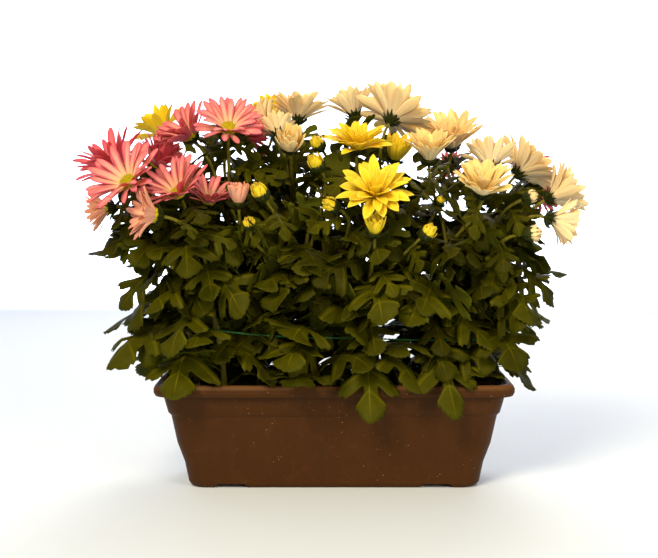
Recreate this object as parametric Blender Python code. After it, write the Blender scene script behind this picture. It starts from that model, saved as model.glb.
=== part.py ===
"""A planted window box: a moulded plastic trough with potted chrysanthemums in pink, yellow
and cream.

Metres, +Z up. X runs along the trough, -Y is its front and +Y its back. The origin is the
middle of the flat pad under the trough, on the surface that it stands on.

Each flower head, each leafy shoot, the trough, the compost, the three root balls and the
twine is its own closed solid. Heads and leaves are plain solids with the true outer size.
"""

import itertools
import math

import bmesh
import bpy
from mathutils import Matrix, Vector
from mathutils.bvhtree import BVHTree

MM = 0.001
GAP = 0.3 * MM                      # air left between neighbouring solids
CUT_PAST = 15 * MM                  # how far a cutter runs past the face that it opens

# ---- trough ---------------------------------------------------------------------------
BOX_LENGTH = 350 * MM
BOX_DEPTH = 150 * MM
BOX_HEIGHT = 105 * MM
CORNER_RADIUS = 16 * MM
CORNER_STEPS = 4
SIDE_SHARE = 0.8                    # the long sides lean in by this share of the ends' lean
FLOOR = 2.5 * MM
# (height, how far the end wall stands in from the rim's outer edge), in millimetres
OUTER_PROFILE = [(0, 36.5), (1.5, 33), (5, 31), (25, 27.3), (45, 20.8), (73, 15.5),
                 (76, 12.8), (93, 8.6), (93.8, 1.5), (97, 0), (101, 0), (104, 1.5), (105, 4)]
INNER_PROFILE = [(2.5, 36), (6.5, 33), (25, 29.5), (45, 23), (73, 17.7), (76, 15),
                 (95, 10.8), (103.5, 8), (105, 7)]
CHANNEL_X = 101 * MM                # the two channels across the underside
CHANNEL_HALF = 17 * MM
CHANNEL_DEPTH = 4 * MM
CHANNEL_SLOPE = 4 * MM              # how much narrower a channel is at its top
DRAIN_RADIUS = 5 * MM
DRAIN_DEPTH = 1 * MM
DRAIN_Y = 26 * MM

# ---- compost and root balls -----------------------------------------------------------
SOIL_TOP = 90 * MM
BALL_X = (-105 * MM, 0.0, 105 * MM)
BALL_SIDES = 16
# (height, radius) of a root ball that came out of a nursery pot
BALL_PROFILE = [(18 * MM, 34 * MM), (20 * MM, 36 * MM), (89 * MM, 45 * MM), (91 * MM, 43 * MM)]
BALL_TOP = BALL_PROFILE[-1][0]

# ---- room for the spout of a watering can, which no leaf may fill -----------------------
SPOUT_ROOM = ((-62 * MM, 48 * MM, 90.5 * MM), (152 * MM, 65 * MM, 140 * MM))

# ---- support twine --------------------------------------------------------------------
TWINE_RADIUS = 0.9 * MM
TWINE_REACH_X = 162 * MM
TWINE_REACH_Y = 62 * MM
TWINE_HEIGHT = 157 * MM
TWINE_TILT = 9 * MM                 # the left end of the loop hangs higher than the right
TWINE_SAG = 7 * MM
TWINE_POINTS = 36

# ---- shoots and leaves ----------------------------------------------------------------
STEM_SIDES = 6
STEM_STEPS = 5
STALK_SIDES = 4
STALK_STEPS = 5
TWINE_SIDES = 5
STEM_RADII = (2.6 * MM, 2.0 * MM)
STALK_RADII = (1.6 * MM, 1.2 * MM)
GOLDEN_ANGLE = math.radians(137.5)
LEAF_HALF_THICK = 0.6 * MM
LEAF_CUP = 0.12                     # how far the blade's edges hang below its midrib
# (share of the way along the midrib, share of the blade's greatest half width)
LEAF_STATIONS = [(0.0, 0.05), (0.22, 0.12), (0.45, 1.0), (0.75, 0.8)]
LEAF_PEAK = 0.45                    # how far along the leaf its arch is highest
OUTLINE_ARCHES = (0.35, 0.45, 0.25, 0.55)
# The top stalk leaves the main stem at FIRST_FORK of its length, the next FORK_STEP lower.
FIRST_FORK = 0.98
FORK_STEP = 0.12
STALK_RISE = 0.35                   # share of a stalk that leaves the stem straight up
STALK_AIM = 0.3                     # share of a stalk that lies along its head's axis
# Sideways bends tried in turn, in millimetres, until a stalk clears its neighbours.
STALK_BENDS_X = (0, 8, -8, 16, -16, 24, -24, 34, -34)
STALK_BENDS_Y = (0, 10, -10, 20, -20)
# Spiral leaves: where they sit on a stem or stalk, and their size.
STEM_LEAVES_FROM = 0.06
STEM_LEAVES_SPAN = 0.9
STALK_LEAF_AT = 0.3
STALK_LEAF_STEP = 0.06
STALK_LEAF_SIZE = 0.7
SHOOT_TWIST = 0.9                   # how far one shoot's spiral is turned from the last one's
LEAF_REACH = 82 * MM
LEAF_REACH_SPREAD = 8 * MM
LEAF_HALF_WIDTH = 0.33              # shares of a leaf's reach
LEAF_ARCH = 0.3
LEAF_ROLL = 0.35
# What a spiral leaf tries in turn until it clears its neighbours: size, turn and slope.
LEAF_SCALES = (1.0, 0.86, 0.72, 0.6)
LEAF_TURNS = (0, 0.3, -0.3, 0.6, -0.6, 0.9, -0.9)
LEAF_SLOPES = (-0.45, -0.15, -0.75, 0.15)

# ---- heads ----------------------------------------------------------------------------
CALYX_DEPTH = 8 * MM                # from a head's centre down to the end of its stalk
HALF_OPEN_DEPTH = 7 * MM
CALYX_RADIUS = 6 * MM
PETAL_EDGE = 0.6 * MM
DISC_RADIUS = 8 * MM
BUD_DEPTH = 1.2                     # share of a bud's petal length
SCALLOP = 0.86                      # a notch between petal tips reaches this far out
LARGE_HEAD = 27 * MM                # heads with longer petals than this have more sides

# ---- plants ---------------------------------------------------------------------------
# Each shoot: where it leaves its root ball (x, y), the (x, y, z) at which it forks, how many
# leaves its main stem has, and its heads. All lengths here are in millimetres.
# A head: (name, form, (x, y, z) of its centre, turn and lift of its axis in degrees, the
# length of a petal, and how steeply the petals rise). Turn 0 faces the front, 90 faces +X.
SHOOTS = {
    "pink_1": ((-138, -10), (-165, -42, 222), 7, [
        ("pink_flower_1a", "daisy", (-192, -95, 300), -35, 35, 43, 22),
        ("pink_flower_1b", "daisy", (-210, -40, 313), -70, 60, 42, 20),
        ("pink_flower_1c", "daisy", (-217, -60, 275), -90, -10, 28, 40)]),
    "pink_2": ((-108, -38), (-143, -62, 240), 7, [
        ("pink_flower_2a", "daisy", (-146, -88, 290), -30, 50, 39, 32),
        ("pink_flower_2b", "daisy", (-176, -16, 317), 60, 55, 31, 35),
        ("pink_flower_2c", "daisy", (-120, -62, 282), 20, 65, 30, 30),
        ("pink_flower_2d", "daisy", (-164, -120, 270), -70, 10, 31, 35)]),
    "pink_3": ((-75, -4), (-113, -24, 280), 6, [
        ("pink_flower_3a", "daisy", (-141, -25, 345), -60, 45, 38, 35),
        ("pink_flower_3b", "daisy", (-101, -60, 351), 5, 45, 36, 25),
        ("pink_flower_3c", "daisy", (-88, -5, 344), 110, 20, 23, 25),
        ("pink_flower_3d", "half", (-90, -84, 282), -10, 80, 20, 65)]),
    "pink_4": ((112, 32), (150, 48, 235), 7, [
        ("pink_flower_4a", "daisy", (214, 50, 288), 120, 0, 24, 25),
        ("pink_flower_4b", "daisy", (207, 75, 313), 170, 50, 25, 25),
        ("pink_flower_4c", "daisy", (124, 92, 318), 170, 10, 18, 30)]),
    "yellow_1": ((-20, -32), (-28, -48, 235), 9, [
        ("yellow_bud_1a", "bud", (-16, -40, 337), -60, 50, 8, 0),
        ("yellow_bud_1b", "bud", (-17, -75, 318), -45, 50, 9, 0),
        ("yellow_bud_1c", "bud", (-69, -95, 291), -45, 50, 9, 0),
        ("yellow_bud_1d", "bud", (-79, -105, 262), -10, 60, 6, 0),
        ("yellow_bud_1e", "bud", (-3, -100, 279), -60, 25, 8, 0)]),
    "yellow_2": ((30, -32), (36, -62, 222), 9, [
        ("yellow_flower_2a", "double", (22, -55, 333), 10, 72, 36, 18),
        ("yellow_flower_2b", "half", (60, -20, 324), 40, 65, 26, 62),
        ("yellow_flower_2c", "double", (38, -105, 289), 0, 48, 39, 15),
        ("yellow_flower_2d", "half", (37, -112, 255), 0, 68, 19, 62),
        ("yellow_bud_2a", "bud", (87, -100, 254), 60, 40, 8, 0),
        ("yellow_bud_2b", "bud", (102, -60, 282), 45, 60, 5, 0)]),
    "yellow_3": ((-115, 32), (-112, 55, 255), 7, [
        ("yellow_flower_3a", "double", (-177, 60, 350), -120, 50, 35, 35),
        ("yellow_flower_3b", "double", (-63, 80, 366), 180, 60, 33, 30)]),
    "cream_1": ((88, -32), (110, -52, 235), 9, [
        ("cream_flower_1a", "wide", (91, -60, 323), 0, 68, 32, 45),
        ("cream_flower_1b", "wide", (138, -95, 291), 5, 62, 35, 38),
        ("cream_flower_1c", "wide", (153, -30, 316), 180, 60, 34, 35)]),
    "cream_2": ((138, -12), (165, -35, 220), 8, [
        ("cream_flower_2a", "wide", (186, 0, 310), 110, 42, 40, 28),
        ("cream_flower_2b", "wide", (213, -35, 285), 95, 25, 38, 40),
        ("cream_flower_2c", "wide", (206, -80, 265), 95, -15, 31, 40),
        ("cream_bud_2a", "bud", (186, -70, 286), 90, 20, 7, 0),
        ("cream_bud_2b", "bud", (186, -90, 252), 75, 5, 8, 0)]),
    "cream_3": ((-28, 30), (-46, 16, 265), 7, [
        ("cream_flower_3a", "wide", (-70, 22, 354), -120, 45, 33, 40),
        ("cream_flower_3b", "wide", (-37, 41, 366), 170, 75, 36, 30),
        ("cream_flower_3c", "wide", (-55, -5, 348), -160, 50, 25, 40),
        ("cream_flower_3d", "half", (-42, -50, 333), 0, 50, 25, 60)]),
    "cream_4": ((32, 28), (55, 30, 268), 7, [
        ("cream_flower_4a", "wide", (21, 50, 370), -150, 62, 32, 45),
        ("cream_flower_4b", "wide", (59, 16, 364), 140, 45, 44, 15),
        ("cream_flower_4c", "wide", (122, 50, 338), -5, 62, 41, 42)]),
}
# Leaves that set the plants' outline: shoot, height on the stem, tip (x, y, z), half width.
OUTLINE_LEAVES = [
    ("pink_1", 130, (-151, -104, 98), 30),
    ("pink_1", 150, (-217, -90, 127), 30),
    ("pink_1", 190, (-243, -30, 232), 22),
    ("yellow_2", 135, (34, -106, 76), 24),
    ("cream_1", 140, (115, -106, 79), 26),
    ("cream_2", 175, (230, -30, 211), 26),
    ("yellow_1", 140, (-45, -112, 128), 26),
    ("pink_4", 160, (205, 60, 150), 28),
    ("yellow_3", 150, (-200, 70, 150), 28),
]


def material(name, colour, roughness, metallic=0.0):
    mat = bpy.data.materials.new(name)
    mat.use_nodes = True
    shader = mat.node_tree.nodes["Principled BSDF"]
    shader.inputs["Base Color"].default_value = (*colour, 1.0)
    shader.inputs["Roughness"].default_value = roughness
    shader.inputs["Metallic"].default_value = metallic
    return mat


def make_object(name, bm, mat, smooth_below=None):
    """Turn a bmesh into a named object with its faces pointing out."""
    bmesh.ops.recalc_face_normals(bm, faces=bm.faces[:])
    mesh = bpy.data.meshes.new(name)
    bm.to_mesh(mesh)
    bm.free()
    mesh.materials.append(mat)
    if smooth_below:
        mesh.shade_smooth()
        mesh.set_sharp_from_angle(angle=math.radians(smooth_below))
    obj = bpy.data.objects.new(name, mesh)
    bpy.context.scene.collection.objects.link(obj)
    return obj


def as_cutter(obj):
    obj.hide_render = True
    obj.display_type = "WIRE"
    return obj


def boolean(obj, operation, cutter):
    modifier = obj.modifiers.new(f"{operation.lower()} {cutter.name}", "BOOLEAN")
    modifier.operation = operation
    modifier.solver = "EXACT"
    modifier.object = cutter


def loft(bm, rings, close_start=True, close_end=True):
    """Skin a row of rings; a ring of one vertex is a point that closes the skin."""
    for low, high in zip(rings, rings[1:]):
        count = max(len(low), len(high))
        for i in range(count):
            j = (i + 1) % count
            if len(high) == 1:
                bm.faces.new((low[i], low[j], high[0]))
            elif len(low) == 1:
                bm.faces.new((low[0], high[j], high[i]))
            else:
                bm.faces.new((low[i], low[j], high[j], high[i]))
    if close_start and len(rings[0]) > 1:
        bm.faces.new(rings[0])
    if close_end and len(rings[-1]) > 1:
        bm.faces.new(rings[-1])


# ---- trough, compost, root balls ------------------------------------------------------
def rectangle_ring(bm, height, inset):
    """One level of the trough: a rectangle with round corners."""
    half_x = BOX_LENGTH / 2 - inset - CORNER_RADIUS
    half_y = BOX_DEPTH / 2 - SIDE_SHARE * inset - CORNER_RADIUS
    ring = []
    for quarter, (sx, sy) in enumerate([(1, 1), (-1, 1), (-1, -1), (1, -1)]):
        for step in range(CORNER_STEPS + 1):
            angle = math.radians(90) * (quarter + step / CORNER_STEPS)
            x = sx * half_x + CORNER_RADIUS * math.cos(angle)
            y = sy * half_y + CORNER_RADIUS * math.sin(angle)
            ring.append(bm.verts.new((x, y, height)))
    return ring


def trough_solid(profile, extra_inset=0.0, lift=0.0, top=None, lid=True):
    """A solid lofted through a trough profile, cut off level at top where that is given."""
    bm = bmesh.new()
    levels = [(z * MM + lift, inset * MM + extra_inset) for z, inset in profile]
    if top:
        above = [level for level in levels if level[0] > top][0]
        below = [level for level in levels if level[0] <= top][-1]
        share = (top - below[0]) / (above[0] - below[0])
        levels = [level for level in levels if level[0] < top]
        levels.append((top, below[1] + share * (above[1] - below[1])))
    loft(bm, [rectangle_ring(bm, z, inset) for z, inset in levels], close_end=lid)
    return bm


def ridge(name, grow, bottom):
    """The two straight ridges that fill the channels under the trough, or stand over them."""
    bm = bmesh.new()
    top = CHANNEL_DEPTH + grow
    for side in (-1, 1):
        section = []
        for half, z in ((CHANNEL_HALF + grow + CHANNEL_SLOPE * -bottom / CHANNEL_DEPTH, bottom),
                        (CHANNEL_HALF + grow - CHANNEL_SLOPE, top)):
            section.append((side * CHANNEL_X - half, z))
            section.append((side * CHANNEL_X + half, z))
        a, b, c, d = section
        ends = []
        for y in (-BOX_DEPTH, BOX_DEPTH):
            ends.append([bm.verts.new((x, y, z)) for x, z in (a, b, d, c)])
        loft(bm, ends)
    return as_cutter(make_object(name, bm, guide_material))


def turned(profile, sides, centre=(0, 0)):
    """A solid of revolution about an upright axis; a radius of 0 is a pole."""
    bm = bmesh.new()
    rings = []
    for z, radius in profile:
        ring = []
        for i in range(sides if radius else 1):
            angle = math.tau * i / sides
            ring.append(bm.verts.new((centre[0] + radius * math.cos(angle),
                                      centre[1] + radius * math.sin(angle), z)))
        rings.append(ring)
    loft(bm, rings)
    return bm


def make_window_box():
    """The trough: outer block less the hollow, the two channels and the four drains."""
    box = make_object("window_box", trough_solid(OUTER_PROFILE), box_material, 40)
    last_height, last_inset = INNER_PROFILE[-1]
    hollow = trough_solid(INNER_PROFILE + [(last_height + CUT_PAST / MM, last_inset)])
    hollow = as_cutter(make_object("trough_hollow", hollow, guide_material))
    boolean(hollow, "DIFFERENCE", ridge("floor_ridges", FLOOR, -CUT_PAST))
    boolean(box, "DIFFERENCE", ridge("channel_cut", 0.0, -CHANNEL_DEPTH))
    boolean(box, "DIFFERENCE", hollow)
    for side_x in (-1, 1):
        for side_y in (-1, 1):
            spot = (side_x * CHANNEL_X, side_y * DRAIN_Y)
            profile = [(0, DRAIN_RADIUS), (CHANNEL_DEPTH + DRAIN_DEPTH, DRAIN_RADIUS)]
            cutter = make_object(f"drain_{side_x}_{side_y}", turned(profile, 12, spot),
                                 guide_material)
            boolean(box, "DIFFERENCE", as_cutter(cutter))


def make_soil():
    """The compost: it fills the trough to a level top and leaves a pocket for each ball."""
    bm = trough_solid(INNER_PROFILE, extra_inset=2 * GAP, lift=GAP, top=SOIL_TOP)
    soil = make_object("potting_soil", bm, soil_material, 40)
    boolean(soil, "DIFFERENCE", ridge("soil_ridges", FLOOR + GAP, -CUT_PAST))
    for number, x in enumerate(BALL_X):
        profile = [(z - GAP * 2, radius + 2 * GAP) for z, radius in BALL_PROFILE[:-1]]
        profile += [(BALL_TOP + CUT_PAST, BALL_PROFILE[-2][1] + 2 * GAP)]
        pocket = make_object(f"pocket_{number}", turned(profile, BALL_SIDES, (x, 0)),
                             guide_material)
        boolean(soil, "DIFFERENCE", as_cutter(pocket))


def make_root_balls():
    for name, x in zip(("left", "middle", "right"), BALL_X):
        ball = turned(BALL_PROFILE, BALL_SIDES, (x, 0))
        keep(ball, "root_balls")
        make_object(f"root_ball_{name}", ball, root_material, 40)


# ---- keeping neighbours apart ---------------------------------------------------------
placed = []                         # (owner, lowest corner, highest corner, tree)


def corners(bm):
    spots = [v.co for v in bm.verts]
    low = Vector([min(co[i] for co in spots) for i in range(3)])
    high = Vector([max(co[i] for co in spots) for i in range(3)])
    return low, high


def keep(bm, owner):
    """Remember a solid, so that later ones stay clear of it."""
    low, high = corners(bm)
    placed.append((owner, low, high, BVHTree.FromBMesh(bm)))


def is_clear(bm, ignore=None):
    """Whether a solid, grown by a little more than the gap, touches no other owner's."""
    bm.normal_update()
    grown = bm.copy()
    bmesh.ops.recalc_face_normals(grown, faces=grown.faces[:])
    for vert in grown.verts:
        vert.co += vert.normal * 1.5 * GAP
    low, high = corners(grown)
    tree = BVHTree.FromBMesh(grown)
    grown.free()
    for owner, other_low, other_high, other in placed:
        if owner == ignore:
            continue
        if any(low[i] > other_high[i] or high[i] < other_low[i] for i in range(3)):
            continue
        if tree.overlap(other):
            return False
    return True


def keep_trough_skins():
    """The plants stay clear of the trough's two faces and of the compost."""
    for profile, top in ((OUTER_PROFILE, None), (INNER_PROFILE, None), (INNER_PROFILE, SOIL_TOP)):
        skin = trough_solid(profile, top=top, lid=top is not None)
        keep(skin, "window_box")
        skin.free()


def keep_spout_room():
    """Leave the strip of compost behind the plants open for a watering can."""
    bm = bmesh.new()
    low, high = Vector(SPOUT_ROOM[0]), Vector(SPOUT_ROOM[1])
    size = high - low
    place = Matrix.Translation((low + high) / 2) @ Matrix.Diagonal((*size, 1))
    bmesh.ops.create_cube(bm, size=1.0, matrix=place)
    keep(bm, "spout_room")
    bm.free()


# ---- flower heads ---------------------------------------------------------------------
def head_profile(form, petal, rise):
    """(height, radius, scalloped) up the underside of a head, over its rim and to its top."""
    rim_radius = petal * math.cos(rise)
    rim_height = petal * math.sin(rise)
    if form == "bud":
        return [(-BUD_DEPTH * petal, 0, False), (-0.9 * petal, 0.55 * petal, False),
                (-0.1 * petal, 0.95 * petal, False), (0.6 * petal, 0.7 * petal, False),
                (1.0 * petal, 0, False)]
    if form == "half":
        return [(-HALF_OPEN_DEPTH, 0, False), (-4 * MM, CALYX_RADIUS, False),
                (rim_height * 0.45, rim_radius * 0.85 + 2 * MM, False),
                (rim_height, rim_radius + PETAL_EDGE, True), (rim_height * 0.75, 0, False)]
    top = (2.5 * MM, 0, False)
    middle = (1.5 * MM, DISC_RADIUS, False)
    if form == "double":
        middle = (0.36 * petal, 0.55 * rim_radius, False)
        top = (0.3 * petal, 0, False)
    return [(-CALYX_DEPTH, 0, False), (-5 * MM, CALYX_RADIUS, False),
            (rim_height - PETAL_EDGE, rim_radius, True),
            (rim_height + PETAL_EDGE, rim_radius, True), middle, top]


def head_solid(form, petal, rise):
    sides = 6 if form == "bud" else 14 if petal > LARGE_HEAD else 10
    bm = bmesh.new()
    rings = []
    for z, radius, scalloped in head_profile(form, petal, rise):
        ring = []
        for i in range(sides if radius else 1):
            reach = radius * (SCALLOP if scalloped and i % 2 else 1.0)
            angle = math.tau * i / sides
            ring.append(bm.verts.new((reach * math.cos(angle), reach * math.sin(angle), z)))
        rings.append(ring)
    loft(bm, rings)
    return bm


def axis_of(turn, lift):
    turn, lift = math.radians(turn), math.radians(lift)
    return Vector((math.sin(turn) * math.cos(lift), -math.cos(turn) * math.cos(lift),
                   math.sin(lift)))


def stand_off(form, petal):
    """How far below a head's centre its stalk ends."""
    depths = {"bud": BUD_DEPTH * petal, "half": HALF_OPEN_DEPTH}
    return depths.get(form, CALYX_DEPTH) + 2 * GAP


def make_head(name, form, centre, turn, lift, petal, rise, mat):
    """Place a head, and give back where its stalk ends and the axis that the head faces."""
    spot = Vector(centre) * MM
    petal = petal * MM
    axis = axis_of(turn, lift)
    spin = Vector((0, 0, 1)).rotation_difference(axis).to_matrix().to_4x4()
    bm = head_solid(form, petal, math.radians(rise))
    bmesh.ops.transform(bm, matrix=Matrix.Translation(spot) @ spin, verts=bm.verts)
    if not is_clear(bm):
        raise ValueError(f"{name} has no room")
    keep(bm, name)
    make_object(name, bm, mat, 50)
    return spot - axis * stand_off(form, petal), axis


# ---- stems, stalks and leaves ---------------------------------------------------------
def curve_point(points, t):
    """A point on the Bezier curve that a list of two to four points sets."""
    while len(points) > 1:
        points = [a.lerp(b, t) for a, b in zip(points, points[1:])]
    return points[0]


def tube(points, radii, sides, steps):
    """A round rod along a Bezier curve, from the first radius to the second."""
    bm = bmesh.new()
    rings = []
    for i in range(steps + 1):
        t = i / steps
        here = curve_point(points, t)
        before = curve_point(points, max(t - 0.02, 0))
        after = curve_point(points, min(t + 0.02, 1))
        along = (after - before).normalized()
        side = along.cross(Vector((0, 1, 0.01))).normalized()
        other = along.cross(side)
        radius = radii[0] + t * (radii[1] - radii[0])
        ring = []
        for k in range(sides):
            angle = math.tau * k / sides
            offset = side * math.cos(angle) + other * math.sin(angle)
            ring.append(bm.verts.new(here + offset * radius))
        rings.append(ring)
    loft(bm, rings)
    return bm


def leaf_solid(start, tip, half_width, arch, roll, first=0):
    """A leaf from its stalk to its tip: four cross sections and a point."""
    out = (tip - start) * Vector((1, 1, 0))
    heading = math.atan2(out.y, out.x)
    side = Vector((-math.sin(heading), math.cos(heading), 0))
    control = start.lerp(tip, LEAF_PEAK) + Vector((0, 0, arch))
    rib = [start, control, tip]
    bm = bmesh.new()
    rings = []
    for t, share in LEAF_STATIONS[first:]:
        here = curve_point(rib, t)
        along = (curve_point(rib, min(t + 0.05, 1)) - curve_point(rib, max(t - 0.05, 0)))
        turn = Matrix.Rotation(roll, 3, along.normalized())
        across = turn @ side
        up = across.cross(along).normalized()
        up = -up if up.z < 0 else up
        half = half_width * share
        drop = up * (half * LEAF_CUP)
        thick = up * LEAF_HALF_THICK
        rings.append([bm.verts.new(co) for co in (here + across * half - drop, here + thick,
                                                  here - across * half - drop, here - thick)])
    rings.append([bm.verts.new(tip)])
    loft(bm, rings)
    return bm


def add_leaf(shoot, parts, start, tip, half_width, arch, roll):
    """Keep the leaf if its blade is clear of everything and its stalk of other shoots."""
    blade = leaf_solid(start, tip, half_width, arch, roll, first=1)
    whole = leaf_solid(start, tip, half_width, arch, roll)
    fits = is_clear(blade) and is_clear(whole, ignore=shoot)
    if fits:
        keep(blade, shoot)
        parts.append(whole)
    else:
        whole.free()
    blade.free()
    return fits


def route_stalk(shoot, start, base, axis):
    """A stalk from the main stem to a head, bent aside until it clears the other plants."""
    span = (base - start).length
    for bend in STALK_BENDS_X:
        for other in STALK_BENDS_Y:
            aside = Vector((bend * MM, other * MM, 0))
            points = [start, start + Vector((0, 0, STALK_RISE * span)) + aside,
                      base - axis * STALK_AIM * span + aside, base]
            bm = tube(points, STALK_RADII, STALK_SIDES, STALK_STEPS)
            if is_clear(bm, ignore=shoot):
                keep(bm, shoot)
                return bm, points
            bm.free()
    raise ValueError(f"a stalk of {shoot} has no room")


def make_shoot(name, base, fork, leaf_count, heads):
    """One rooted shoot: main stem, a stalk to each head, and leaves in a golden spiral."""
    foot = Vector((base[0] * MM, base[1] * MM, BALL_TOP + 2 * GAP))
    top = Vector(fork) * MM
    stem_line = [foot, Vector((foot.x, foot.y, foot.lerp(top, 0.5).z)), top]
    stem = tube(stem_line, STEM_RADII, STEM_SIDES, STEM_STEPS)
    if not is_clear(stem, ignore=name):
        raise ValueError(f"the main stem of {name} has no room")
    keep(stem, name)
    parts = []
    branches = []
    for number, (spot, axis) in enumerate(heads):
        start = curve_point(stem_line, FIRST_FORK - FORK_STEP * number)
        stalk, points = route_stalk(name, start, spot, axis)
        parts.append(stalk)
        branches.append(points)
    return {"name": name, "stem": stem, "line": stem_line, "parts": parts,
            "branches": branches, "leaves": leaf_count}


def stem_point_at(line, height):
    """The point of a main stem that is nearest to a height."""
    shares = [i / 40 for i in range(41)]
    share = min(shares, key=lambda s: abs(curve_point(line, s).z - height))
    return curve_point(line, share)


def outline_leaves(shoots):
    """The listed leaves that set the plants' outline."""
    for name, height, tip, half_width in OUTLINE_LEAVES:
        shoot = shoots[name]
        start = stem_point_at(shoot["line"], height * MM)
        tip = Vector(tip) * MM
        reach = (tip - start).length
        for arch in OUTLINE_ARCHES:
            if add_leaf(name, shoot["parts"], start, tip, half_width * MM, arch * reach, 0.0):
                break
        else:
            raise ValueError(f"an outline leaf of {name} has no room")


def spiral_leaves(shoot, order):
    """Leaves up the main stem and the lower part of each stalk."""
    seats = []
    for k in range(shoot["leaves"]):
        share = STEM_LEAVES_FROM + STEM_LEAVES_SPAN * k / shoot["leaves"]
        seats.append((curve_point(shoot["line"], share), 1.0))
    for k, points in enumerate(shoot["branches"]):
        share = STALK_LEAF_AT + STALK_LEAF_STEP * (k % 3)
        seats.append((curve_point(points, share), STALK_LEAF_SIZE))
    for k, (start, size) in enumerate(seats):
        spin = GOLDEN_ANGLE * k + SHOOT_TWIST * order
        place_spiral_leaf(shoot, start, size, spin, k)


def place_spiral_leaf(shoot, start, size, spin, k):
    """The first size, turn and slope that has room; the seat stays bare where none has."""
    full_reach = (LEAF_REACH + LEAF_REACH_SPREAD * math.sin(2.3 * k)) * size
    roll = LEAF_ROLL * math.sin(1.7 * k)
    for scale, turn, slope in itertools.product(LEAF_SCALES, LEAF_TURNS, LEAF_SLOPES):
        reach = full_reach * scale
        heading = Vector((math.cos(spin + turn), math.sin(spin + turn), slope))
        tip = start + heading.normalized() * reach
        if add_leaf(shoot["name"], shoot["parts"], start, tip, reach * LEAF_HALF_WIDTH,
                    reach * LEAF_ARCH, roll):
            return


def finish_shoot(shoot):
    """Join the stem, its stalks and its leaves into one solid."""
    name = f"{shoot['name']}_shoot"
    stem = make_object(name, shoot["stem"], leaf_material, 50)
    group = bpy.data.collections.new(f"{name}_pieces")
    bpy.context.scene.collection.children.link(group)
    for number, bm in enumerate(shoot["parts"]):
        piece = as_cutter(make_object(f"{name}_piece_{number}", bm, leaf_material))
        bpy.context.scene.collection.objects.unlink(piece)
        group.objects.link(piece)
    modifier = stem.modifiers.new("grown together", "BOOLEAN")
    modifier.operation = "UNION"
    modifier.operand_type = "COLLECTION"
    modifier.solver = "EXACT"
    modifier.collection = group


def make_twine():
    """The loop that holds the plants together: a long oval that sags at the front and back."""
    spots = []
    for i in range(TWINE_POINTS):
        angle = math.tau * i / TWINE_POINTS
        c, s = math.cos(angle), math.sin(angle)
        x = TWINE_REACH_X * math.copysign(abs(c) ** 0.6, c)
        y = TWINE_REACH_Y * math.copysign(abs(s) ** 0.5, s)
        z = TWINE_HEIGHT - TWINE_TILT * c - TWINE_SAG * s * s
        spots.append(Vector((x, y, z)))
    bm = bmesh.new()
    rings = []
    for i, here in enumerate(spots):
        along = (spots[(i + 1) % TWINE_POINTS] - spots[i - 1]).normalized()
        side = along.cross(Vector((0, 0, 1))).normalized()
        up = side.cross(along)
        ring = []
        for k in range(TWINE_SIDES):
            angle = math.tau * k / TWINE_SIDES
            offset = side * math.cos(angle) + up * math.sin(angle)
            ring.append(bm.verts.new(here + offset * TWINE_RADIUS))
        rings.append(ring)
    loft(bm, rings + [rings[0]], close_start=False, close_end=False)
    keep(bm, "support_twine")
    make_object("support_twine", bm, twine_material, 60)


for old in list(bpy.data.objects):
    bpy.data.objects.remove(old)

guide_material = material("construction guide", (0.5, 0.5, 0.5), 0.5)
box_material = material("brown moulded plastic", (0.075, 0.027, 0.007), 0.45)
soil_material = material("potting compost", (0.012, 0.008, 0.005), 0.95)
root_material = material("peat root ball", (0.03, 0.018, 0.008), 0.95)
leaf_material = material("chrysanthemum leaf", (0.055, 0.05, 0.004), 0.6)
twine_material = material("green twine", (0.02, 0.09, 0.03), 0.7)
petal_materials = {
    "pink": material("pink petals", (0.75, 0.22, 0.14), 0.6),
    "yellow": material("yellow petals", (0.82, 0.56, 0.04), 0.6),
    "cream": material("cream petals", (0.93, 0.6, 0.2), 0.6),
}

make_window_box()
make_soil()
make_root_balls()
keep_trough_skins()
keep_spout_room()
make_twine()

head_seats = {}
for shoot_name, (_, _, _, heads) in SHOOTS.items():
    petals = petal_materials[shoot_name.split("_")[0]]
    head_seats[shoot_name] = [make_head(*head, petals) for head in heads]

shoots = {}
for shoot_name, (base, fork, leaf_count, _) in SHOOTS.items():
    shoots[shoot_name] = make_shoot(shoot_name, base, fork, leaf_count, head_seats[shoot_name])
outline_leaves(shoots)
for order, shoot in enumerate(shoots.values()):
    spiral_leaves(shoot, order)
for shoot in shoots.values():
    finish_shoot(shoot)
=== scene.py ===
# %% [markdown]
# # A planted window box
# A brown moulded trough holds three potted chrysanthemums: pink single daisies on the left,
# yellow semi-doubles in the middle and broad cream flowers on the right.
# The design model, which this script calls the frame, already says where each flower head
# is, which way it faces and where every large leaf ends. Its solids are plain on purpose.
# This lesson grows real petals, leaves and stems on them, and nothing is moved.

# %% Load the frame
import math
import random

import bmesh
import bpy
import numpy as np
from mathutils import Matrix, Vector, noise


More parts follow.
